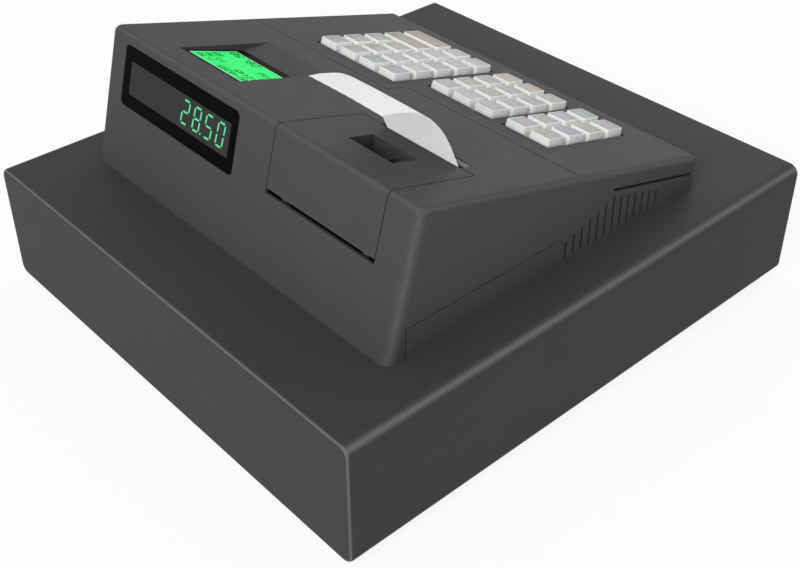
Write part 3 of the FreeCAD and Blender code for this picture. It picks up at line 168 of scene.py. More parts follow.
class Graph:
    """The node graph of one material or of the world."""

    def __init__(self, owner: Union[bpy.types.Material, bpy.types.World]) -> None:
        """Start an empty graph.

        Args:
            owner: The material or the world.
        """
        owner.use_nodes = True
        self.owner = owner
        self.tree = owner.node_tree
        self.tree.nodes.clear()

    @cached_property
    def spot(self) -> Term:
        """Place of the shaded point in its object."""
        return self.node("ShaderNodeTexCoord", output="Object")

    def node(self, kind: str, settings: Optional[dict] = None, inputs: Optional[dict] = None,
             output: Union[int, str] = 0) -> Term:
        """Add any node.

        Args:
            kind: The node's type.
            settings: Attributes of the node, set first.
            inputs: Values or terms of its sockets.
            output: The output that the term stands for.

        Returns:
            The term of that output.
        """
        item = self.tree.nodes.new(kind)
        for name, value in (settings or {}).items():
            setattr(item, name, value)
        for key, value in (inputs or {}).items():
            socket = item.inputs[key]
            if isinstance(value, Term):
                self.tree.links.new(value.socket, socket)
            elif socket.type == "RGBA" and len(value) == 3:
                socket.default_value = (*value, 1)
            else:
                socket.default_value = value
        return Term(self, item.outputs[output])

    def noise(self, grain: float, detail: float = 2, stretch: RGB = (1, 1, 1)) -> Term:
        """Noise whose features are about grain metres across, drawn out by stretch."""
        spot = self.spot
        if stretch != (1, 1, 1):
            spot = self.node(
                "ShaderNodeVectorMath", {"operation": "MULTIPLY"}, {0: spot, 1: stretch})
        return self.node("ShaderNodeTexNoise", inputs={
            "Vector": spot, "Scale": 1 / grain, "Detail": detail})

    def cells(self, grain: float) -> Term:
        """Rounded cells about grain metres across."""
        return self.node("ShaderNodeTexVoronoi", {"feature": "SMOOTH_F1"}, {
            "Vector": self.spot, "Scale": 1 / grain, "Smoothness": 0.6})

    def mix(self, share: Operand, first: Union[Term, RGB], second: Union[Term, RGB]) -> Term:
        """Mix of two colours."""
        return self.node("ShaderNodeMix", {"data_type": "RGBA"}, {0: share, 6: first, 7: second}, 2)

    def axis(self, name: str) -> Term:
        """One coordinate of the spot, by its name X, Y or Z."""
        return self.node("ShaderNodeSeparateXYZ", inputs={0: self.spot}, output=name)

    def agreement(self, first: Union[Term, RGB], second: Union[Term, RGB]) -> Term:
        """Dot product of two directions."""
        return self.node(
            "ShaderNodeVectorMath", {"operation": "DOT_PRODUCT"}, {0: first, 1: second}, "Value")

    def fillets(self, flats: Sequence[RGB]) -> Term:
        """Share of the turning away from every main face, so 1 on the round edges between them.

        Args:
            flats: Outward directions of the main faces.

        Returns:
            The share.
        """
        facing = self.node("ShaderNodeTexCoord", output="Normal")
        best = self.agreement(facing, flats[0])
        for flat in flats[1:]:
            best = best.most(self.agreement(facing, flat))
        return (1 - best).within(*FILLET_TURNING)

    def edges(self, radius: float) -> tuple[Term, Term]:
        """Rounded normal and the share of lightening along sharp edges, partly edge wear and partly
        painted highlight.

        Args:
            radius: How far the rounding and the lightened edge reach, in metres.

        Returns:
            The normal, and 0 on flats to 1 on sharp edges.
        """
        rounded = self.node("ShaderNodeBevel", {"samples": 4}, {"Radius": radius})
        flat = self.node("ShaderNodeNewGeometry", output="Normal")
        return rounded, (1 - self.agreement(rounded, flat)).within(*EDGE_TURNING)

    def bump(self, height: Term, depth: float, normal: Optional[Term] = None) -> Term:
        """Normal of a relief.

        Args:
            height: The relief, 0 to 1.
            depth: Its depth in metres.
            normal: The normal under it.

        Returns:
            The new normal.
        """
        inputs = {"Height": height, "Strength": 1.0, "Distance": depth}
        if normal is not None:
            inputs["Normal"] = normal
        return self.node("ShaderNodeBump", inputs=inputs)

    def surface(self, **inputs: Union[Term, float, RGB]) -> None:
        """End the graph in one Principled surface.

        Args:
            inputs: Its sockets, with underscores for spaces.
        """
        named = {name.replace("_", " "): value for name, value in inputs.items()}
        self.end(self.node("ShaderNodeBsdfPrincipled", inputs=named))

    def seen(self) -> Term:
        """1 for rays from the camera, in gloss and through glass, and 0 for light."""
        rays = [self.node("ShaderNodeLightPath", output=f"Is {ray} Ray")
                for ray in ("Camera", "Glossy", "Transmission")]
        return rays[0].most(rays[1]).most(rays[2])

    def blend(self, share: Operand, first: Term, second: Term) -> None:
        """End the graph in a mix of two shaders."""
        self.end(self.node("ShaderNodeMixShader", inputs={0: share, 1: first, 2: second}))

    def end(self, shader: Term) -> None:
        """Link a shader to the graph's output."""
        kind = "World" if isinstance(self.owner, bpy.types.World) else "Material"
        out = self.tree.nodes.new(f"ShaderNodeOutput{kind}")
        self.tree.links.new(shader.socket, out.inputs["Surface"])


@dataclass(frozen=True)
class Finish:
    """A finish that makes its material once."""

    name: str

    def material(self) -> bpy.types.Material:
        """The material of this finish."""
        known = bpy.data.materials.get(self.name)
        if known is not None:
            return known
        graph = Graph(bpy.data.materials.new(self.name))
        self.paint(graph)
        return graph.owner

    def paint(self, graph: Graph) -> None:
        """Build the nodes.

        Args:
            graph: The empty graph.
        """
        raise NotImplementedError


@dataclass(frozen=True)
class GrainedShell(Finish):
    """Moulded plastic or enamelled steel with a fine grain, cloudy tone and a painted highlight on
    its round edges.
    """

    colour: RGB
    grain: float
    depth: float
    roughness: float
    # Share and colour of the painted highlight on the round edges.
    highlight_share: float
    highlight_colour: RGB
    flats: tuple[RGB, ...] = SQUARE_FLATS
    shine: float = 0.06
    pit_to_grain: float = 1.8
    cloud_size: float = 70 * MM
    smear_size: float = 9 * MM
    spread: float = 0.1

    def paint(self, graph: Graph) -> None:
        """Build the nodes."""
        fine = graph.noise(self.grain, 3)
        pits = graph.cells(self.grain * self.pit_to_grain)
        cloud = graph.noise(self.cloud_size, 3)
        smear = graph.noise(self.smear_size, 4, (1, 0.25, 1))
        dark, light = shade(self.colour, 1 - self.spread), shade(self.colour, 1 + self.spread)
        tone = graph.mix(cloud * 0.6 + fine * 0.4, dark, light)
        # Painted highlight: round edges between the main faces are mixed towards a lighter colour.
        edge_wear_and_highlight = graph.fillets(self.flats) * (fine * 0.5 + 0.75) * self.highlight_share
        graph.surface(
            Base_Color=graph.mix(edge_wear_and_highlight, tone, self.highlight_colour),
            Roughness=(smear - 0.5) * 0.16 + (fine - 0.5) * 0.1 + self.roughness,
            Normal=graph.bump(fine * 0.55 + pits * 0.45, self.depth),
            Specular_IOR_Level=self.shine,
        )


@dataclass(frozen=True)
class GlossBlack(Finish):
    """Polished dark plastic with hairline scratches and a trace of dust."""

    colour: RGB = even(7)
    roughness: float = 0.42
    shine: float = 0.012
    hair_size: float = 0.5 * MM
    dust_size: float = 0.9 * MM
    dust_colour: RGB = even(80)
    scratch_depth: float = 0.004 * MM

    def paint(self, graph: Graph) -> None:
        """Build the nodes."""
        hair = graph.noise(self.hair_size, 4, (0.06, 1, 1)).within(0.62, 0.75)
        dust = graph.noise(self.dust_size, 5).within(0.6, 0.85)
        tone = graph.mix(dust * 0.04, self.colour, self.dust_colour)
        graph.surface(
            Base_Color=tone,
            Roughness=hair * 0.15 + dust * 0.2 + self.roughness,
            Normal=graph.bump(hair, self.scratch_depth),
            Specular_IOR_Level=self.shine,
        )


@dataclass(frozen=True)
class KeyMoulding(Finish):
    """Off-white key plastic: satin, a little soiled, with painted shade where keys crowd together."""

    colour: RGB = display_colour(249, 250, 247)
    soiled: RGB = display_colour(196, 192, 178)
    # Colour of the painted shade between crowded keys, and the occlusion reach and range that place
    # it.
    painted_crevice_shade: RGB = display_colour(44, 42, 36)
    reach: float = 6 * MM
    crowding: tuple[float, float] = (0.42, 0.92)
    grain: float = 0.45 * MM
    soil_size: float = 7 * MM
    depth: float = 0.012 * MM

    def paint(self, graph: Graph) -> None:
        """Build the nodes."""
        fine = graph.noise(self.grain, 3)
        soil = graph.noise(self.soil_size, 4).within(0.45, 0.8)
        open_share = graph.node(
            "ShaderNodeAmbientOcclusion", {"samples": 4}, {"Distance": self.reach}, "AO")
        tone = graph.mix(soil * 0.2, self.colour, self.soiled)
        # Painted shade: where ambient occlusion finds neighbours close by, the colour is mixed
        # towards a dark tone.
        tone = graph.mix((1 - open_share).within(*self.crowding) * 0.95, tone, self.painted_crevice_shade)
        graph.surface(
            Base_Color=tone,
            Roughness=fine * 0.16 + soil * 0.1 + 0.3,
            Normal=graph.bump(fine, self.depth),
            Specular_IOR_Level=0.4,
            Coat_Weight=0.1,
            Coat_Roughness=0.2,
        )


@dataclass(frozen=True)
class KeyLabel(Finish):
    """Printed card under the key's clear top: tinted and faintly mottled."""

    colour: RGB
    fibre_size: float = 0.3 * MM
    patch_size: float = 4 * MM
    depth: float = 0.006 * MM
    shades: tuple[float, float] = (0.8, 1.22)

    def paint(self, graph: Graph) -> None:
        """Build the nodes."""
        fibre = graph.noise(self.fibre_size, 3, (1, 0.4, 1))
        patch = graph.noise(self.patch_size, 3)
        dark, light = (shade(self.colour, share) for share in self.shades)
        tone = graph.mix(patch.within(0.3, 0.7) * 0.7 + fibre * 0.3, dark, light)
        graph.surface(
            Base_Color=tone,
            Roughness=fibre * 0.2 + 0.3,
            Normal=graph.bump(fibre, self.depth),
            Specular_IOR_Level=0.3,
            Coat_Weight=0.2,
            Coat_Roughness=0.15,
        )


@dataclass(frozen=True)
class LitPanel(Finish):
    """Back-lit display field with a soft unevenness of its lamp."""

    colour: RGB = display_colour(42, 236, 112)
    pale: RGB = display_colour(62, 252, 130)
    body: RGB = display_colour(4, 20, 10)
    strength: float = 1.0
    glow_size: float = 26 * MM
    grain: float = 0.5 * MM
    depth: float = 0.003 * MM

    def paint(self, graph: Graph) -> None:
        """Build the nodes."""
        glow = graph.noise(self.glow_size, 2).within(0.35, 0.7)
        grain = graph.noise(self.grain, 2)
        tone = graph.mix(glow * 0.35 + grain * 0.1, self.colour, self.pale)
        graph.surface(
            Base_Color=graph.mix(grain * 0.4, self.body, shade(self.body, 0.5)),
            Roughness=grain * 0.1 + 0.2,
            Emission_Color=tone,
            Emission_Strength=self.strength,
            Specular_IOR_Level=DISPLAY_SHINE,
            Normal=graph.bump(grain, self.depth),
        )


@dataclass(frozen=True)
class Ink(Finish):
    """Dark crystal cells of a display."""

    colour: RGB = display_colour(5, 52, 26)
    cloud_size: float = 5 * MM
    grain: float = 0.3 * MM
    depth: float = 0.003 * MM

    def paint(self, graph: Graph) -> None:
        """Build the nodes."""
        cloud = graph.noise(self.cloud_size, 3)
        grain = graph.noise(self.grain, 2)
        graph.surface(
            Base_Color=graph.mix(cloud, self.colour, shade(self.colour, 1.5)),
            Roughness=grain * 0.15 + 0.35,
            Normal=graph.bump(grain, self.depth),
            Specular_IOR_Level=DISPLAY_SHINE,
        )


@dataclass(frozen=True)
class ThermalPaper(Finish):
    """Smooth white paper with a fibre relief, slight cockling and a faint painted glow that lightens
    its shaded side.
    """

    colour: RGB = display_colour(244, 244, 243)
    shaded: RGB = display_colour(226, 226, 228)
    # Strength of the painted glow.
    glow: float = 0.16
    through: float = 1.5 * MM
    fibre_size: float = 0.35 * MM
    cockle_size: float = 17 * MM
    depth: float = 0.12 * MM

    def paint(self, graph: Graph) -> None:
        """Build the nodes."""
        fibre = graph.noise(self.fibre_size, 4, (1, 0.5, 0.5))
        cockle = graph.noise(self.cockle_size, 2, (1, 0.5, 0.5))
        tone = graph.mix(fibre * 0.35 + cockle * 0.3, self.colour, self.shaded)
        graph.surface(
            Base_Color=tone,
            Roughness=fibre * 0.12 + 0.5,
            Normal=graph.bump(fibre * 0.1 + cockle * 0.9, self.depth),
            Subsurface_Weight=0.9,
            Subsurface_Radius=(1, 1, 1),
            Subsurface_Scale=self.through,
            # Painted light: the paper glows faintly in its own tone, lightening its shaded underside.
            Emission_Color=tone,
            Emission_Strength=self.glow,
        )


@dataclass(frozen=True)
class WoundPaper(Finish):
    """Paper roll whose ends show its turns."""

    axis_y: float = 108 * MM
    axis_z: float = 135 * MM
    turn: float = 0.55 * MM
    core: float = 9.2 * MM
    core_edge: float = 0.2 * MM
    fibre_size: float = 0.4 * MM
    depth: float = 0.05 * MM
    card_colour: RGB = display_colour(176, 148, 112)

    def paint(self, graph: Graph) -> None:
        """Build the nodes."""
        across = graph.axis("Y") - self.axis_y
        rise = graph.axis("Z") - self.axis_z
        radius = (across * across + rise * rise) ** 0.5
        turns = (radius * (2 * math.pi / self.turn)).wave() * 0.5 + 0.5
        fibre = graph.noise(self.fibre_size, 3)
        tone = graph.mix(turns * 0.45 + fibre * 0.2, even(240), even(205))
        card = 1 - radius.within(self.core - self.core_edge, self.core + self.core_edge)
        tone = graph.mix(card, tone, self.card_colour)
        graph.surface(
            Base_Color=tone,
            Roughness=fibre * 0.2 + 0.55,
            Normal=graph.bump(turns * 0.6 + fibre * 0.4, self.depth),
        )


@dataclass(frozen=True)
class DrawnMetal(Finish):
    """Plated or polished metal with drawing lines and handling marks."""

    colour: RGB
    roughness: float
    lines: RGB = (0.05, 1, 1)
    line_size: float = 0.35 * MM
    smear_size: float = 8 * MM
    edge: float = 0.3 * MM
    depth: float = 0.005 * MM

    def paint(self, graph: Graph) -> None:
        """Build the nodes."""
        drawn = graph.noise(self.line_size, 3, self.lines)
        smear = graph.noise(self.smear_size, 4)
        normal, edge_wear_and_highlight = graph.edges(self.edge)
        tone = graph.mix(drawn * 0.5 + smear * 0.4, shade(self.colour, 0.8), self.colour)
        graph.surface(
            # Lighter along sharp edges: partly edge wear, partly a painted highlight.
            Base_Color=graph.mix(edge_wear_and_highlight * 0.4, tone, even(225)),
            Metallic=1.0,
            Roughness=drawn * 0.14 + smear * 0.12 + self.roughness,
            Normal=graph.bump(drawn, self.depth, normal),
        )


@dataclass(frozen=True)
class MattRubber(Finish):
    """Dull rubber with a dusty bloom and a fine skin."""

    colour: RGB = even(38)
    bloom_colour: RGB = even(92)
    skin_size: float = 0.35 * MM
    bloom_size: float = 5 * MM
    edge: float = 0.5 * MM
    depth: float = 0.03 * MM

    def paint(self, graph: Graph) -> None:
        """Build the nodes."""
        skin = graph.noise(self.skin_size, 3)
        bloom = graph.noise(self.bloom_size, 4).within(0.4, 0.8)
        normal, edge_wear_and_highlight = graph.edges(self.edge)
        graph.surface(
            # Lighter along sharp edges: partly edge wear, partly a painted highlight.
            Base_Color=graph.mix(bloom * 0.3 + edge_wear_and_highlight * 0.3, self.colour, self.bloom_colour),
            Roughness=bloom * 0.1 + 0.78,
            Normal=graph.bump(skin, self.depth, normal),
        )


@dataclass(frozen=True)
class CircuitBoard(Finish):
    """Printed board: lacquer over tracks, with tinned dots."""

    lacquer: RGB = display_colour(22, 74, 40)
    track: RGB = display_colour(46, 112, 62)
    tin: RGB = even(186)
    dot_pitch: float = 5 * MM
    grain: float = 0.5 * MM
    depth: float = 0.05 * MM

    def paint(self, graph: Graph) -> None:
        """Build the nodes."""
        tracks = graph.node("ShaderNodeTexBrick", inputs={
            "Vector": graph.spot, "Scale": 120.0, "Mortar Size": 0.03,
            "Color1": even(255), "Color2": even(255), "Mortar": even(0)}, output="Fac")
        dots = 1 - graph.cells(self.dot_pitch).within(0.1, 0.16)
        grain = graph.noise(self.grain, 2)
        graph.surface(
            Base_Color=graph.mix(dots, graph.mix(tracks, self.lacquer, self.track), self.tin),
            Metallic=dots,
            Roughness=grain * 0.15 + 0.35,
            Normal=graph.bump(tracks * 0.4 + dots * 0.6, self.depth),
        )


class Tint(Enum):
    """Tints of the cards under the keys' clear tops."""

    GREY = display_colour(139, 139, 140)
    LIGHT = display_colour(154, 155, 156)
    WHITE = display_colour(166, 166, 169)
    PINK = display_colour(149, 140, 140)
    GREEN = display_colour(140, 143, 137)
    BLUE = display_colour(133, 138, 144)
    VIOLET = display_colour(134, 134, 146)
    LILAC = display_colour(149, 146, 153)
    TEAL = display_colour(133, 140, 140)
    ORANGE = display_colour(153, 141, 126)
    OLIVE = display_colour(145, 141, 125)
    BROWN = display_colour(131, 117, 104)
    ROSE = display_colour(132, 112, 108)

    def finish(self) -> KeyLabel:
        """The finish of a card in this tint."""
        return KeyLabel(f"label_{self.name.lower()}", self.value)


class Stuff(Enum):
    """The finishes of the register's pieces."""

    # After each shell's name, the fifth and sixth values are the share and colour of its painted edge
    # highlight.
    CASE = GrainedShell(
        "case_grain", even(73), 0.8 * MM, 0.035 * MM, 0.6, 0.55, even(96), CASE_FLATS)
    ENAMEL = GrainedShell("drawer_enamel_coat", even(62), 1.3 * MM, 0.03 * MM, 0.55, 0.8, even(112))
    # Dark grey inner moulding; its dark tone also partly paints the shade seen through the paper
    # slot.
    DEEP = GrainedShell("inner_moulding", even(38), 0.9 * MM, 0.03 * MM, 0.6, 0.3, even(92))
    TRIM = GrainedShell("tear_bar_moulding", even(112), 0.6 * MM, 0.02 * MM, 0.5, 0.3, even(150))
    TILL = GrainedShell("till_moulding", even(56), 1.1 * MM, 0.05 * MM, 0.58, 0.4, even(100))
    CLIP = GrainedShell("clip_moulding", even(72), 0.6 * MM, 0.02 * MM, 0.45, 0.4, even(120))
    BLACK = GlossBlack("bezel_gloss")
    PANE = GlossBlack("smoked_pane", even(56), 0.4)
    KEY = KeyMoulding("key_moulding")
    LCD = LitPanel("lit_field")
    LCD_RIM = LitPanel("lit_rim", display_colour(128, 236, 170), display_colour(160, 244, 195),
                       display_colour(40, 120, 70), 0.9)
    BAR = LitPanel("lit_bars", display_colour(125, 235, 175), display_colour(160, 245, 200),
                   display_colour(30, 90, 60), 0.8)
    HALO = LitPanel("bar_glow", display_colour(12, 92, 50), display_colour(16, 104, 58),
                    display_colour(8, 40, 22), 0.8)
    INK = Ink("crystal_ink")
    PAPER = ThermalPaper("thermal_paper")
    ROLL = WoundPaper("wound_paper")
    STEEL = DrawnMetal("plated_steel", even(176), 0.32)
    CHROME = DrawnMetal("polished_chrome", even(214), 0.14, (1, 1, 0.1))
    RUBBER = MattRubber("foot_rubber_skin")
    ROLLER = MattRubber("roller_rubber_skin", even(52))
    BOARD = CircuitBoard("lacquered_board")

    def material(self) -> bpy.types.Material:
        """The material of this finish."""
        return self.value.material()


def rounded(width: float, height: float, radius: float, steps: int = 4) -> Outline:
    """Outline of a rectangle with round corners, about the origin, anticlockwise.

    Args:
        width: Size along the first direction.
        height: Size along the second direction.
        radius: Radius of the corners.
        steps: Runs in each corner.

    Returns:
        The points.
    """
    points = []
    for quarter, (side, end) in enumerate(((1, 1), (-1, 1), (-1, -1), (1, -1))):
        centre = (side * (width / 2 - radius), end * (height / 2 - radius))
        for step in range(steps + 1):
            angle = math.radians(90) * (quarter + step / steps)
            points.append(
                (centre[0] + radius * math.cos(angle), centre[1] + radius * math.sin(angle)))
    return points


class Draft:
    """A mesh in the making, drawn in the directions of a flat."""

    def __init__(self, flat: Optional[Matrix] = None) -> None:
        """Start an empty mesh.

        Args:
            flat: Turns local points into the object's own frame.
        """
        self.mesh = bmesh.new()
        self.flat = flat or Matrix.Identity(4)

    def ring(self, outline: Iterable[tuple[float, float]], level: float,
             middle: tuple[float, float] = (0, 0)) -> list[bmesh.types.BMVert]:
        """Add the points of an outline at a level above the flat."""
        return [
            self.mesh.verts.new(self.flat @ Vector((x + middle[0], y + middle[1], level)))
            for x, y in outline
        ]

    def loop(self, points: Iterable[Vector]) -> list[bmesh.types.BMVert]:
        """Add points that are already in three dimensions."""
        return [self.mesh.verts.new(self.flat @ Vector(point)) for point in points]

    def skin(self, rings: Sequence[list], closed: bool = True, slot: int = 0) -> None:
        """Join rings one after the other.

        Args:
            rings: Rings of the same number of points.
            closed: Whether each ring closes on itself.
            slot: Material slot of the faces.
        """
        for low, high in zip(rings, rings[1:]):
            count = len(low)
            for index in range(count if closed else count - 1):
                after = (index + 1) % count
                face = self.mesh.faces.new((low[index], low[after], high[after], high[index]))
                face.material_index = slot

    def cap(self, ring: list, slot: int = 0) -> None:
        """Close a ring with one face."""
        self.mesh.faces.new(ring).material_index = slot

    def solid(self, rings: Sequence[list], slot: int = 0) -> None:
        """Join rings and close both ends."""
        self.skin(rings, slot=slot)
        self.cap(rings[0][::-1], slot)
        self.cap(rings[-1], slot)

    def plate(self, outline_at: Callable[[float], Outline], low: float, high: float, bevel: float,
              middle: tuple[float, float] = (0, 0), slot: int = 0) -> None:
        """Add a plate with a bevelled upper edge.

        Args:
            outline_at: Gives the outline for an inset in metres.
            low: Level of its underside.
            high: Level of its upper side.
            bevel: Size of the bevel.
            middle: Where its middle lies.
            slot: Material slot.
        """
        half = bevel * 0.3
        steps = ((0, low), (0, high - bevel), (half, high - half), (bevel, high))
        self.solid([self.ring(outline_at(inset), level, middle) for inset, level in steps], slot)

    def slab(self, size: tuple[float, float], radius: float, levels: tuple[float, float],
             bevel: float, middle: tuple[float, float], steps: int = 2) -> None:
        """Add a rectangular plate with round corners.

        Args:
            size: Its two sizes.
            radius: Radius of its corners.
            levels: Levels of its underside and its upper side.
            bevel: Size of the bevel.
            middle: Where its middle lies.
            steps: Runs in each corner.
        """
        def outline(shrink: float) -> Outline:
            """Outline drawn in all round by shrink."""
            return rounded(size[0] - 2 * shrink, size[1] - 2 * shrink, radius, steps)

        self.plate(outline, *levels, bevel, middle)

    def piece(self, name: str, body: str, finishes: Sequence[Union["Stuff", Finish]],
              slot: str, crease: float = SOFT_CREASE) -> bpy.types.Object:
        """Turn the draft into a piece that rides on a body.

        Args:
            name: Name of the piece.
            body: The body that it rides on.
            finishes: Its finishes, by slot.
            slot: Not used.
            crease: Angle in degrees above which an edge stays sharp.

        Returns:
            The new object.
        """
        bmesh.ops.remove_doubles(self.mesh, verts=self.mesh.verts, dist=SAME_SPOT)
        bmesh.ops.recalc_face_normals(self.mesh, faces=self.mesh.faces)
        limit = math.radians(crease)
        for edge in self.mesh.edges:
            edge.smooth = edge.calc_face_angle(0) < limit
        for face in self.mesh.faces:
            face.smooth = True
        data = bpy.data.meshes.new(name)
        self.mesh.to_mesh(data)
        self.mesh.free()
        for finish in finishes:
            data.materials.append(finish.material())
        item = show(name, data)
        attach(item, body)
        LOG.info("%s: %d faces on %s", name, len(data.polygons), body)
        return item


@dataclass
class Housing:
    """Outer form of the terminal, from which the flats of its top and rear follow."""

    base: float = 102 * MM
    front: float = -143 * MM
    front_edge: float = 26.4 * MM
    tilt: float = math.radians(15.6)
    rear: float = 162.5 * MM
    lean: float = math.radians(15.3)

    def top_at(self, y: float, depth: float = 0) -> Vector:
        """Point in the middle plane, depth below the sloping top, above the place y."""
        rise = (y - self.front) * math.tan(self.tilt)
        return Vector((0, y, self.base + self.front_edge + rise - depth / math.cos(self.tilt)))

    def flat(self, origin: Vector, across: Vector, up: Vector) -> Matrix:
        """Frame of a flat: across, up along it and out of it.

        Args:
            origin: A point of the flat.
            across: Its first direction.
            up: Its second direction.

        Returns:
            The matrix from the flat's directions to the object's.
        """
        across = across.normalized()
        up = up.normalized()
        turned = Matrix((across, up, across.cross(up))).transposed()
        return Matrix.Translation(origin) @ turned.to_4x4()

    def top(self) -> Matrix:
        """The sloping top, its origin in the middle of the front edge."""
        slope = Vector((0, math.cos(self.tilt), math.sin(self.tilt)))
        return self.flat(self.top_at(self.front), Vector((1, 0, 0)), slope)

    def rear_face(self) -> Matrix:
        """The leaning rear, as a customer sees it, its origin in the middle of its foot."""
        rise = Vector((0, -math.sin(self.lean), math.cos(self.lean)))
        return self.flat(Vector((0, self.rear, self.base)), Vector((-1, 0, 0)), rise)


@dataclass
class KeyBank:
    """All the keys: clear-topped caps over tinted cards, on square stems."""

    housing: Housing
    rear_row: float = 128.7 * MM
    row_pitch: float = 22.6 * MM
    foot: float = 18.7 * MM
    rise: float = 5 * MM
    draw: float = math.radians(8)
    skirt: float = 4 * MM
    stem: float = 6 * MM
    stem_length: float = 9.5 * MM
    corner: float = 1.1 * MM
    edge: float = 0.25 * MM
    rim: float = 0.28 * MM
    well: float = 0.12 * MM
    chamfer: float = 0.2 * MM
    sag: float = 0.03 * MM
    card_gap: float = 0.1 * MM
    card_sink: float = 0.05 * MM
    card_bevel: float = 0.08 * MM
    stem_corner: float = 0.6 * MM
    tints: dict[str, tuple[Tint, ...]] = field(default_factory=lambda: {
        "a1": (Tint.GREY, Tint.GREY, Tint.GREY),
        "a2": (Tint.PINK, Tint.GREEN, Tint.GREEN),
        "a3": (Tint.BLUE, Tint.LIGHT, Tint.LIGHT, Tint.LIGHT, Tint.LIGHT),
        "a4": (Tint.VIOLET, Tint.WHITE, Tint.PINK, Tint.LIGHT, Tint.LIGHT),
        "b1": (Tint.GREY, Tint.LILAC, Tint.GREEN, Tint.TEAL, Tint.ORANGE),
        "b2": (Tint.GREY, Tint.LIGHT, Tint.GREEN, Tint.GREY, Tint.ORANGE),
        "b3": (Tint.GREY, Tint.LILAC, Tint.LILAC, Tint.TEAL, Tint.OLIVE),
        "c1": (Tint.GREY, Tint.PINK, Tint.PINK, Tint.LILAC, Tint.TEAL),
        "c2": (Tint.GREY, Tint.GREEN, Tint.VIOLET, Tint.GREEN, Tint.PINK),
    })
    wide_tints: dict[str, Tint] = field(default_factory=lambda: {
        "4": Tint.BROWN, "5": Tint.ROSE})

    def tint(self, block_row: str, column: str) -> Tint:
        """Tint of one key's card.

        Args:
            block_row: The block's letter and the row's number.
            column: The column's number, or wide.

        Returns:
            The tint.
        """
        if column == "wide":
            return self.wide_tints[block_row[1]]
        return self.tints[block_row[0] + column][int(block_row[1]) - 1]

    def cap(self, node: str) -> bpy.types.Object:
        """Make one key in place of its solid.

        Args:
            node: The key's node name, such as key_a1_2.

        Returns:
            The key.
        """
        _, block_row, column = node.split("_")
        low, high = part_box(node)
        width = high.x - low.x
        run = self.rear_row - self.row_pitch * (int(block_row[1]) - 1)
        place = Matrix.Translation(Vector(((low.x + high.x) / 2, run, 0)))
        draft = Draft(self.housing.top() @ place)
        inset = self.rise * math.tan(self.draw)

        def outline(shrink: float) -> Outline:
            """Outline of the cap, drawn in all round by shrink."""
            return rounded(width - 2 * shrink, self.foot - 2 * shrink,
                           max(self.corner, self.corner + inset - shrink), 3)

        well_edge = inset + self.rim + self.well * 0.6
        levels = (
            (self.chamfer, -self.skirt),
            (0, self.chamfer - self.skirt),
            (0, 0),
            (inset * 0.8, self.rise - self.edge),
            (inset + self.edge * 0.12, self.rise - self.edge * 0.35),
            (inset + self.edge * 0.5, self.rise - self.edge * 0.06),
            (inset + self.edge, self.rise),
            (inset + self.rim, self.rise - self.sag),
            (well_edge, self.rise - self.well),
        )
        draft.solid([draft.ring(outline(shrink), level) for shrink, level in levels])
        stem = rounded(self.stem, self.stem, self.stem_corner, 2)
        draft.solid([draft.ring(stem, level)
                     for level in (-self.skirt - self.stem_length, -self.skirt)])
        card = well_edge + self.card_gap
        draft.plate(lambda shrink: outline(card + shrink), self.rise - self.well - self.card_sink,
                    self.rise - self.well * 0.45, self.card_bevel, slot=1)
        finishes = (Stuff.KEY, self.tint(block_row, column).finish())
        key = draft.piece(f"{node}_cap", f"{node}_body", finishes, "key_plastic")
        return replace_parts(key, node)

    def build(self) -> None:
        """Make every key."""
        for node in sorted(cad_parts):
            if node.startswith("key_"):
                self.cap(node)


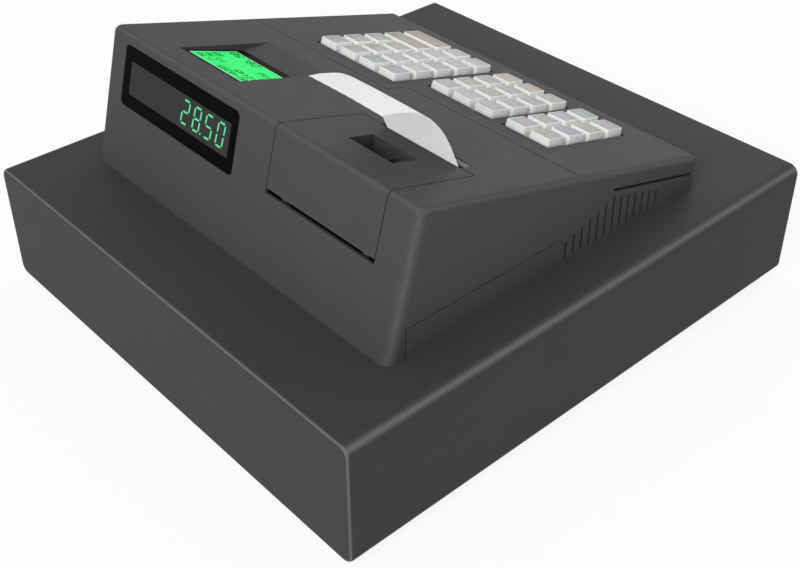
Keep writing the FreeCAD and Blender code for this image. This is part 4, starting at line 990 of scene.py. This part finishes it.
@dataclass
class CustomerDisplay:
    """Black bezel in the rear face with a smoked pane and slanted lit digits."""

    housing: Housing
    middle: tuple[float, float] = (-75.4 * MM, 76.6 * MM)
    outer: tuple[float, float] = (139.2 * MM, 46.0 * MM)
    pane_middle: tuple[float, float] = (-74.85 * MM, 76.2 * MM)
    pane: tuple[float, float] = (123 * MM, 25.1 * MM)
    corner: float = 4 * MM
    pane_corner: float = 1 * MM
    face: float = -0.3 * MM
    proud: float = 0.25 * MM
    sunk: float = 0.2 * MM
    lift: float = 0.02 * MM
    bevel: float = 0.03 * MM
    bar_height: float = 0.06 * MM
    halo_growth: float = 0.55 * MM
    core_growth: float = -0.12 * MM
    point_gap: float = 2.6 * MM
    digits: str = "28.50"
    last_digit: float = -24.3 * MM
    digit_pitch: float = 13.9 * MM
    digit: tuple[float, float] = (7.4 * MM, 17.2 * MM)
    digit_foot: float = 68.2 * MM
    slant: float = math.radians(5.5)
    stroke: float = 1.5 * MM
    bars: dict[str, str] = field(default_factory=lambda: {
        "0": "abcdef", "2": "abged", "5": "afgcd", "8": "abcdefg"})

    def frame_ring(self, draft: Draft) -> None:
        """Raised frame between the bezel's rim and the pane."""
        def around(size: tuple[float, float], radius: float, grow: float) -> Outline:
            """Outline of a rim, grown all round."""
            return rounded(size[0] + 2 * grow, size[1] + 2 * grow, max(0.2 * MM, radius + grow), 5)

        outside = (self.outer, self.corner, self.middle)
        inside = (self.pane, self.pane_corner, self.pane_middle)
        steps = (
            (outside, -0.05 * MM, self.face - self.sunk),
            (outside, -0.05 * MM, self.face + self.proud * 0.5),
            (outside, -0.5 * MM, self.face + self.proud),
            (inside, 0.9 * MM, self.face + self.proud),
            (inside, 0, self.face + self.lift),
            (inside, 0, self.face - self.sunk),
        )
        rings = [draft.ring(around(size, radius, grow), level, middle)
                 for (size, radius, middle), grow, level in steps]
        draft.skin(rings + rings[:1])

    def bar_ends(self, bar: str) -> tuple[tuple[float, float], tuple[float, float]]:
        """Ends of one of the seven bars in a digit, from its lower left corner."""
        width, height = self.digit
        half = height / 2
        return {
            "a": ((0, height), (width, height)), "b": ((width, half), (width, height)),
            "c": ((width, 0), (width, half)), "d": ((0, 0), (width, 0)),
            "e": ((0, 0), (0, half)), "f": ((0, half), (0, height)), "g": ((0, half), (width, half)),
        }[bar]

    def lay_bar(self, draft: Draft, left: float, bar: str, grow: float, level: float) -> None:
        """Lay one bar of a digit as a thin pointed plate.

        Args:
            draft: The mesh that it is added to.
            left: Place of the digit's lower left corner.
            bar: The bar's letter.
            grow: How much wider than the stroke it is, all round.
            level: Level of its underside.
        """
        (x0, y0), (x1, y1) = self.bar_ends(bar)
        start, end = Vector((x0, y0)), Vector((x1, y1))
        along = (end - start).normalized()
        side = Vector((-along.y, along.x)) * (self.stroke / 2 + grow)
        gap = along * (self.stroke * 0.45 - grow)
        start, end = start + gap, end - gap
        point = along * self.stroke * 0.4
        corners = (start, start + point - side, end - point - side, end, end - point + side,
                   start + point + side)
        lean = math.tan(self.slant)
        outline = [(left + c.x + c.y * lean, self.digit_foot + c.y) for c in corners]
        draft.solid([draft.ring(outline, level), draft.ring(outline, level + self.bar_height)])

    def digit_lefts(self) -> list[tuple[str, float]]:
        """Each figure with its left edge, the point of the sum left out."""
        figures = [figure for figure in self.digits if figure != "."]
        last = self.last_digit - self.digit[0] / 2
        first = last - self.digit_pitch * (len(figures) - 1)
        return [(figure, first + self.digit_pitch * index) for index, figure in enumerate(figures)]

    def build(self) -> None:
        """Make the bezel, the pane and the lit digits."""
        flat = self.housing.rear_face()
        rim = Draft(flat)
        self.frame_ring(rim)
        rim.piece("display_bezel", "housing", [Stuff.BLACK], "display_black", SHARP_CREASE)
        pane = Draft(flat)
        pane.slab(self.pane, self.pane_corner, (self.face - 0.1 * MM, self.face + 0.04 * MM),
                  self.bevel, self.pane_middle, steps=4)
        pane.piece("display_pane", "housing", [Stuff.PANE], "display_black", SHARP_CREASE)
        level = self.face + self.lift
        lefts = self.digit_lefts()
        halo, core = Draft(flat), Draft(flat)
        for figure, left in lefts:
            for bar in self.bars[figure]:
                self.lay_bar(halo, left, bar, self.halo_growth, level - 0.01 * MM)
                self.lay_bar(core, left, bar, self.core_growth, level + 0.05 * MM)
        stop = lefts[self.digits.index(".") - 1][1] + self.digit[0] + self.point_gap
        spot = (stop, self.digit_foot + 0.2 * MM)
        core.slab((1.3 * MM, 1.3 * MM), 0.3 * MM, (level, level + 0.1 * MM), 0.04 * MM, spot)
        halo.slab((2.3 * MM, 2.3 * MM), 0.5 * MM, (level - 0.02 * MM, level + 0.05 * MM),
                  self.bevel, spot)
        halo.piece("digit_glow", "housing", [Stuff.HALO], "digit_module")
        core.piece("lit_digits", "housing", [Stuff.BAR], "digit_module")


@dataclass
class OperatorDisplay:
    """Lit crystal panel in the dish: pale rim, bright field and dot figures for the operator."""

    housing: Housing
    rear: float = 113.5 * MM
    rear_depth: float = 0.8 * MM
    bend: float = 59 * MM
    bend_depth: float = 4.5 * MM
    glass_inset: float = 0.3 * MM
    field_x: tuple[float, float] = (41.7 * MM, 105.7 * MM)
    field_y: tuple[float, float] = (68.6 * MM, 109 * MM)
    rim: float = 0.8 * MM
    bevel: float = 0.03 * MM
    dot_levels: tuple[float, float] = (0.1 * MM, 0.16 * MM)
    # Each mark's text, x, y and pitch of its dots, in millimetres.
    marks: tuple[tuple[str, float, float, float], ...] = (
        ("01-0285", 43.4, 102.2, 0.78), ("12:45", 43.4, 94.6, 0.78), ("3", 43.4, 87, 0.78),
        ("0152", 43.4, 79.6, 0.7), ("1.50", 86.4, 101.4, 0.7), ("12.50", 82.2, 94.2, 0.7),
        ("85", 95, 86.8, 0.78), ("28.50", 71.8, 70.6, 1.12))
    font: dict[str, tuple[str, ...]] = field(default_factory=lambda: {
        "0": ("01110", "10001", "10011", "10101", "11001", "10001", "01110"),
        "1": ("00100", "01100", "00100", "00100", "00100", "00100", "01110"),
        "2": ("01110", "10001", "00001", "00010", "00100", "01000", "11111"),
        "3": ("11111", "00010", "00100", "00010", "00001", "10001", "01110"),
        "4": ("00010", "00110", "01010", "10010", "11111", "00010", "00010"),
        "5": ("11111", "10000", "11110", "00001", "00001", "10001", "01110"),
        "8": ("01110", "10001", "10001", "01110", "10001", "10001", "01110"),
        ".": ("00000", "00000", "00000", "00000", "00000", "01100", "01100"),
        "-": ("00000", "00000", "00000", "11111", "00000", "00000", "00000"),
        ":": ("00000", "01100", "01100", "00000", "01100", "01100", "00000"),
    })

    def glass_flat(self) -> Matrix:
        """Frame of the glass, its origin at the dish's bend in the middle plane."""
        front = self.housing.top_at(self.bend, self.bend_depth + self.glass_inset)
        back = self.housing.top_at(self.rear, self.rear_depth + self.glass_inset)
        return self.housing.flat(front, Vector((1, 0, 0)), back - front)

    def run(self, y: float) -> float:
        """Distance up the glass from the bend to the place y."""
        return (y - self.bend) / self.glass_flat().col[1].y

    def write(self, draft: Draft, text: str, left: float, foot: float, size: float) -> None:
        """Write figures in square dots.

        Args:
            draft: The mesh that they are added to.
            text: The figures.
            left: Where the first one starts.
            foot: Where their feet stand.
            size: Pitch of the dots.
        """
        half = size / 2
        for place, figure in enumerate(text):
            rows = self.font.get(figure, ())
            for row, line in enumerate(rows):
                for column, lit in enumerate(line):
                    if lit == "1":
                        x = left + (place * 6 + column) * size
                        y = foot + (len(rows) - 1 - row) * size
                        square = [(x - half, y - half), (x + half, y - half),
                                  (x + half, y + half), (x - half, y + half)]
                        rings = [draft.ring(square, level) for level in self.dot_levels]
                        draft.skin(rings)
                        draft.cap(rings[1])

    def build(self) -> None:
        """Make the rim, the field and the figures."""
        flat = self.glass_flat()
        low, high = self.run(self.field_y[0]), self.run(self.field_y[1])
        left, right = self.field_x
        middle = ((left + right) / 2, (low + high) / 2)
        width, height = right - left, high - low
        plates = (
            ("lit_rim_plate", Stuff.LCD_RIM, 0, 0.6 * MM, (-0.1 * MM, 0.06 * MM)),
            ("lit_field_plate", Stuff.LCD, self.rim, 0.4 * MM, (-0.05 * MM, 0.1 * MM)),
        )
        for name, stuff, inset, radius, levels in plates:
            plate = Draft(flat)
            size = (width - 2 * inset, height - 2 * inset)
            plate.slab(size, radius, levels, self.bevel, middle)
            plate.piece(name, "housing", [stuff], "display_green", SHARP_CREASE)
        ink = Draft(flat)
        for text, x, y, pitch in self.marks:
            self.write(ink, text, x * MM, self.run(y * MM), pitch * MM)
        ink.piece("crystal_figures", "housing", [Stuff.INK], "display_green")


@dataclass
class Printer:
    """What is seen of the printer: the curled receipt and the ribbed tear bar."""

    housing: Housing
    paper_x: tuple[float, float] = (-124.5 * MM, -56.5 * MM)
    paper_y: float = 62.1 * MM
    reach: float = 63.5 * MM
    height: float = 60.3 * MM
    inside: float = 9 * MM
    curl: tuple[tuple[float, float], ...] = (
        (0, 0), (0.055, 0.139), (0.131, 0.328), (0.276, 0.582), (0.517, 0.829), (0.823, 0.962),
        (1, 1))
    thickness: float = 0.12 * MM
    columns: int = 18
    crown: float = 0.5 * MM
    torn: float = 0.35 * MM
    paper_crease: float = 60
    bar_x: tuple[float, float] = (-127.2 * MM, -52.2 * MM)
    bar_y: tuple[float, float] = (52.8 * MM, 59.4 * MM)
    tooth: float = 1.5 * MM

    def curl_line(self) -> list[Vector]:
        """Points along the receipt from inside the slot to its free edge."""
        start = self.housing.top_at(self.paper_y)
        line = bpy.data.curves.new("receipt_line", "CURVE")
        line.dimensions = "3D"
        line.resolution_u = 12
        spline = line.splines.new("BEZIER")
        spline.bezier_points.add(len(self.curl) - 1)
        for point, (back, up) in zip(spline.bezier_points, self.curl):
            point.co = start + Vector((0, self.reach * back, self.height * up))
            point.handle_left_type = point.handle_right_type = "AUTO"
        holder = bpy.data.objects.new("receipt_line", line)
        drawn = bpy.data.meshes.new_from_object(holder)
        points = [vertex.co.copy() for vertex in drawn.vertices]
        bpy.data.objects.remove(holder)
        bpy.data.meshes.remove(drawn)
        return [start - Vector((0, 0, self.inside))] + points

    def receipt(self) -> None:
        """Thin paper sheet with a faint crown across its width and a torn end."""
        points = self.curl_line()
        draft = Draft()
        left, right = self.paper_x
        sheets = []
        for side in (0, 1):
            rows = []
            for index, point in enumerate(points):
                before = points[max(index - 1, 0)]
                after = points[min(index + 1, len(points) - 1)]
                run = (after - before).normalized()
                out = Vector((0, -run.z, run.y))
                share = index / (len(points) - 1)
                row = []
                for step in range(self.columns + 1):
                    x = left + (right - left) * step / self.columns
                    crown = math.sin(math.pi * step / self.columns) * self.crown * share
                    torn = self.torn * (step % 2) if index == len(points) - 1 else 0
                    row.append(point + out * (crown + side * self.thickness) - run * torn
                               + Vector((x, 0, 0)))
                rows.append(draft.loop(row))
            sheets.append(rows)
            draft.skin(rows, closed=False)
        under, over = sheets
        for row_pair in ((under[0], over[0]), (under[-1], over[-1])):
            draft.skin(row_pair, closed=False)
        for edge in (0, -1):
            draft.skin(([row[edge] for row in under], [row[edge] for row in over]), closed=False)
        paper = draft.piece("receipt_sheet", "cover", [Stuff.PAPER], "receipt_paper",
                            self.paper_crease)
        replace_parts(paper, "receipt_strip")

    def tear_bar(self) -> None:
        """Ribs and teeth along the bar that the paper is torn on."""
        draft = Draft()
        left, right = self.bar_x
        front, back = self.bar_y
        count = int((right - left) / self.tooth)
        pitch = (right - left) / count
        profile = [
            self.housing.top_at(y, 0.3 * MM - lift * MM)
            for y, lift in ((front, 0.02), (front + 0.8 * MM, 0.3), (back - 0.8 * MM, 0.3),
                            (back, 0.02))
        ]
        for index in range(count):
            x = left + pitch * index
            rows = []
            for share, drop in ((0.08, 0.35), (0.3, 0), (0.7, 0), (0.92, 0.35)):
                offset = Vector((x + pitch * share, 0, -drop * MM))
                rows.append(draft.loop([point + offset for point in profile]))
            draft.skin(rows, closed=False)
        draft.piece("tear_bar_ribs", "housing", [Stuff.TRIM], "frame_plastic")

    def build(self) -> None:
        """Make the receipt and the tear bar."""
        self.receipt()
        self.tear_bar()


@dataclass
class Fittings:
    """Small hardware: feet with screws, and screws under the drawer."""

    foot_places: tuple[float, float] = (169 * MM, 189 * MM)
    # Radius and level of each ring of a foot and of the screw in it, in millimetres.
    foot_rings: tuple[tuple[float, float], ...] = (
        (9, 4), (9, 1.1), (8.65, 0.35), (7.9, 0), (4.6, 0), (4.2, 0.4), (4.2, 2.4))
    foot_screw_rings: tuple[tuple[float, float], ...] = (
        (3.4, 2.4), (3.3, 1.7), (2.6, 1.35), (0.9, 1.3), (0.8, 2.0))
    # Places of the screws under the drawer, in millimetres.
    floor_screws: tuple[tuple[float, float], ...] = (
        (-150, 120), (150, 120), (-150, -60), (150, -60))
    casing_base: float = 4 * MM
    screw_radius: float = 3.2 * MM
    screw_levels: tuple[float, float] = (1.62 * MM, 0.8 * MM)
    cross_arms: tuple[float, float] = (0.42, 0.16)
    round_steps: int = 40
    screw_steps: int = 28
    small_screw_steps: int = 24

    def circle(self, radius: float, count: int) -> Outline:
        """Points of a circle about the origin."""
        turns = [2 * math.pi * index / count for index in range(count)]
        return [(radius * math.cos(turn), radius * math.sin(turn)) for turn in turns]

    def feet(self) -> None:
        """Four rubber feet with a rounded rim and a screw sunk in each."""
        draft = Draft()
        for x_side in (-1, 1):
            for y_side in (-1, 1):
                middle = (x_side * self.foot_places[0], y_side * self.foot_places[1])
                rings, screw = (
                    [draft.ring(self.circle(radius * MM, steps), level * MM, middle)
                     for radius, level in profile]
                    for profile, steps in ((self.foot_rings, self.round_steps),
                                           (self.foot_screw_rings, self.small_screw_steps)))
                draft.skin(rings)
                draft.cap(rings[0])
                draft.cap(rings[-1][::-1])
                draft.skin(screw, slot=1)
                draft.cap(screw[-1], 1)
        finishes = (Stuff.RUBBER, Stuff.STEEL)
        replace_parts(draft.piece("rubber_feet", "housing", finishes, "foot_rubber"), "drawer_feet")

    def screws(self) -> None:
        """Pan-head screws with a cross recess under the drawer."""
        draft = Draft()
        radius = self.screw_radius
        base = self.casing_base
        head = (
            (radius, 0), (radius, 0.5 * MM), (radius * 0.86, 1.2 * MM), (radius * 0.45, 1.6 * MM))
        for x, y in self.floor_screws:
            middle = (x * MM, y * MM)
            rings = [
                draft.ring(self.circle(size, self.screw_steps), base - drop, middle)
                for size, drop in head]
            draft.skin(rings)
            recess = []
            for index, (cx, cy) in enumerate(self.circle(1, self.screw_steps)):
                arm = self.cross_arms[0 if index % 7 in (0, 1, 6) else 1]
                recess.append((cx * radius * arm, cy * radius * arm))
            mouth, floor = (
                draft.ring(recess, base - drop, middle) for drop in self.screw_levels)
            draft.skin((rings[-1], mouth, floor))
            draft.cap(floor)
        draft.piece("floor_screws", "housing", [Stuff.STEEL], "bright_steel")

    def build(self) -> None:
        """Make the small hardware."""
        self.feet()
        self.screws()


@dataclass
class CarriedPieces:
    """Solids whose own shape is shown, each in its finish."""

    finishes: dict[str, Stuff] = field(default_factory=lambda: {
        "drawer_casing": Stuff.ENAMEL,
        "drawer_tray": Stuff.ENAMEL,
        "drawer_striker": Stuff.STEEL,
        "till_insert": Stuff.TILL,
        "drawer_lock": Stuff.CHROME,
        "drawer_latch": Stuff.STEEL,
        "lower_case": Stuff.CASE,
        "upper_case": Stuff.CASE,
        "keyboard_frame": Stuff.CASE,
        "printer_cover": Stuff.CASE,
        "keyboard_board": Stuff.BOARD,
        "customer_window": Stuff.BLACK,
        "customer_display": Stuff.BOARD,
        "operator_display": Stuff.BLACK,
        # The printer frame's dark finish partly paints the shade behind the paper slot.
        "printer_frame": Stuff.DEEP,
        "platen_roller": Stuff.ROLLER,
        "paper_roll": Stuff.ROLL,
    })

    def build(self) -> None:
        """Dress every solid that is shown."""
        for name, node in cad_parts.items():
            if name.startswith("note_clip"):
                stuff = Stuff.CLIP
            else:
                stuff = self.finishes.get(name, Stuff.CASE)
            node.data.materials.clear()
            node.data.materials.append(stuff.material())
            LOG.info("%s in %s", name, stuff.name)


@dataclass
class Studio:
    """Pale floor, soft light and the camera."""

    azimuth: float = math.radians(227.716)
    elevation: float = math.radians(34.7)
    place: tuple[float, float, float] = (-597.02 * MM, 536.43 * MM, 600.52 * MM)
    lens: float = 55.715
    shift: tuple[float, float] = (-0.00761, -0.0693)
    floor_size: float = 9.0
    floor_white: float = 0.88
    world_light: float = 0.5
    aim: float = 0.12
    lamps: tuple[tuple[str, tuple[float, float, float], float, float], ...] = (
        ("rear_lamp", (-0.85, 2.0, 1.8), 1.6, 43), ("front_lamp", (0.9, -2.1, 1.2), 2.0, 17))

    def floor_paper(self) -> bpy.types.Material:
        """Pale paper that keeps a soft shadow and is nearly white to the camera and in gloss."""
        graph = Graph(bpy.data.materials.new("floor_paper"))
        tone = graph.mix(graph.noise(3 * MM, 2) * 0.1, even(248), even(244))
        paper = graph.node("ShaderNodeBsdfDiffuse", inputs={"Color": tone})
        white = graph.node("ShaderNodeEmission", inputs={"Color": even(255), "Strength": 1.0})
        graph.blend(graph.seen() * self.floor_white, paper, white)
        return graph.owner

    def floor(self) -> None:
        """The floor that the register stands on."""
        half = self.floor_size / 2
        data = bpy.data.meshes.new("studio_floor")
        corners = [(-half, -half, 0), (half, -half, 0), (half, half, 0), (-half, half, 0)]
        data.from_pydata(corners, [], [(0, 1, 2, 3)])
        data.materials.append(self.floor_paper())
        floor = show("studio_floor", data)

    def world(self) -> None:
        """White surroundings: bright to the camera and in gloss, softer as light."""
        world = bpy.data.worlds.new("studio_white")
        bpy.context.scene.world = world
        graph = Graph(world)
        light, white = (
            graph.node("ShaderNodeBackground", inputs={"Color": even(255), "Strength": strength})
            for strength in (self.world_light, 1.0))
        graph.blend(graph.seen(), light, white)

    def lamp(self, name: str, place: Vector, size: float, power: float) -> None:
        """A square soft lamp aimed at the register.

        Args:
            name: Name of the lamp.
            place: Where it hangs.
            size: Its side in metres.
            power: Its power in watts.
        """
        data = bpy.data.lights.new(name, "AREA")
        data.size = size
        data.energy = power
        lamp = show(name, data)
        lamp.location = place
        towards = place - Vector((0, 0, self.aim))
        lamp.rotation_euler = towards.to_track_quat("Z", "Y").to_euler()

    def camera(self) -> None:
        """The camera at the photograph's angle."""
        data = bpy.data.cameras.new("studio_camera")
        data.sensor_width = 36
        data.lens = self.lens
        data.shift_x, data.shift_y = self.shift
        data.clip_end = 30
        turn, rise = self.azimuth, self.elevation
        level = math.cos(rise)
        back = Vector((math.sin(turn) * level, -math.cos(turn) * level, math.sin(rise)))
        right = Vector((math.cos(turn), math.sin(turn), 0))
        turned = Matrix((right, back.cross(right), back)).transposed()
        item = show("studio_camera", data)
        item.matrix_world = Matrix.Translation(Vector(self.place)) @ turned.to_4x4()
        bpy.context.scene.camera = item

    def build(self) -> None:
        """Set the stage."""
        self.floor()
        self.world()
        for name, place, size, power in self.lamps:
            self.lamp(name, Vector(place), size, power)
        self.camera()
        bpy.context.scene.view_settings.view_transform = "Standard"


def main() -> None:
    """Build every sub-assembly in order."""
    logging.basicConfig(level=logging.INFO, format="%(message)s")
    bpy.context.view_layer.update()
    housing = Housing()
    for part in (
        CarriedPieces(),
        KeyBank(housing),
        CustomerDisplay(housing),
        OperatorDisplay(housing),
        Printer(housing),
        Fittings(),
        Studio(),
    ):
        part.build()
        LOG.info("%s done", type(part).__name__)


if __name__ == "__main__":
    main()
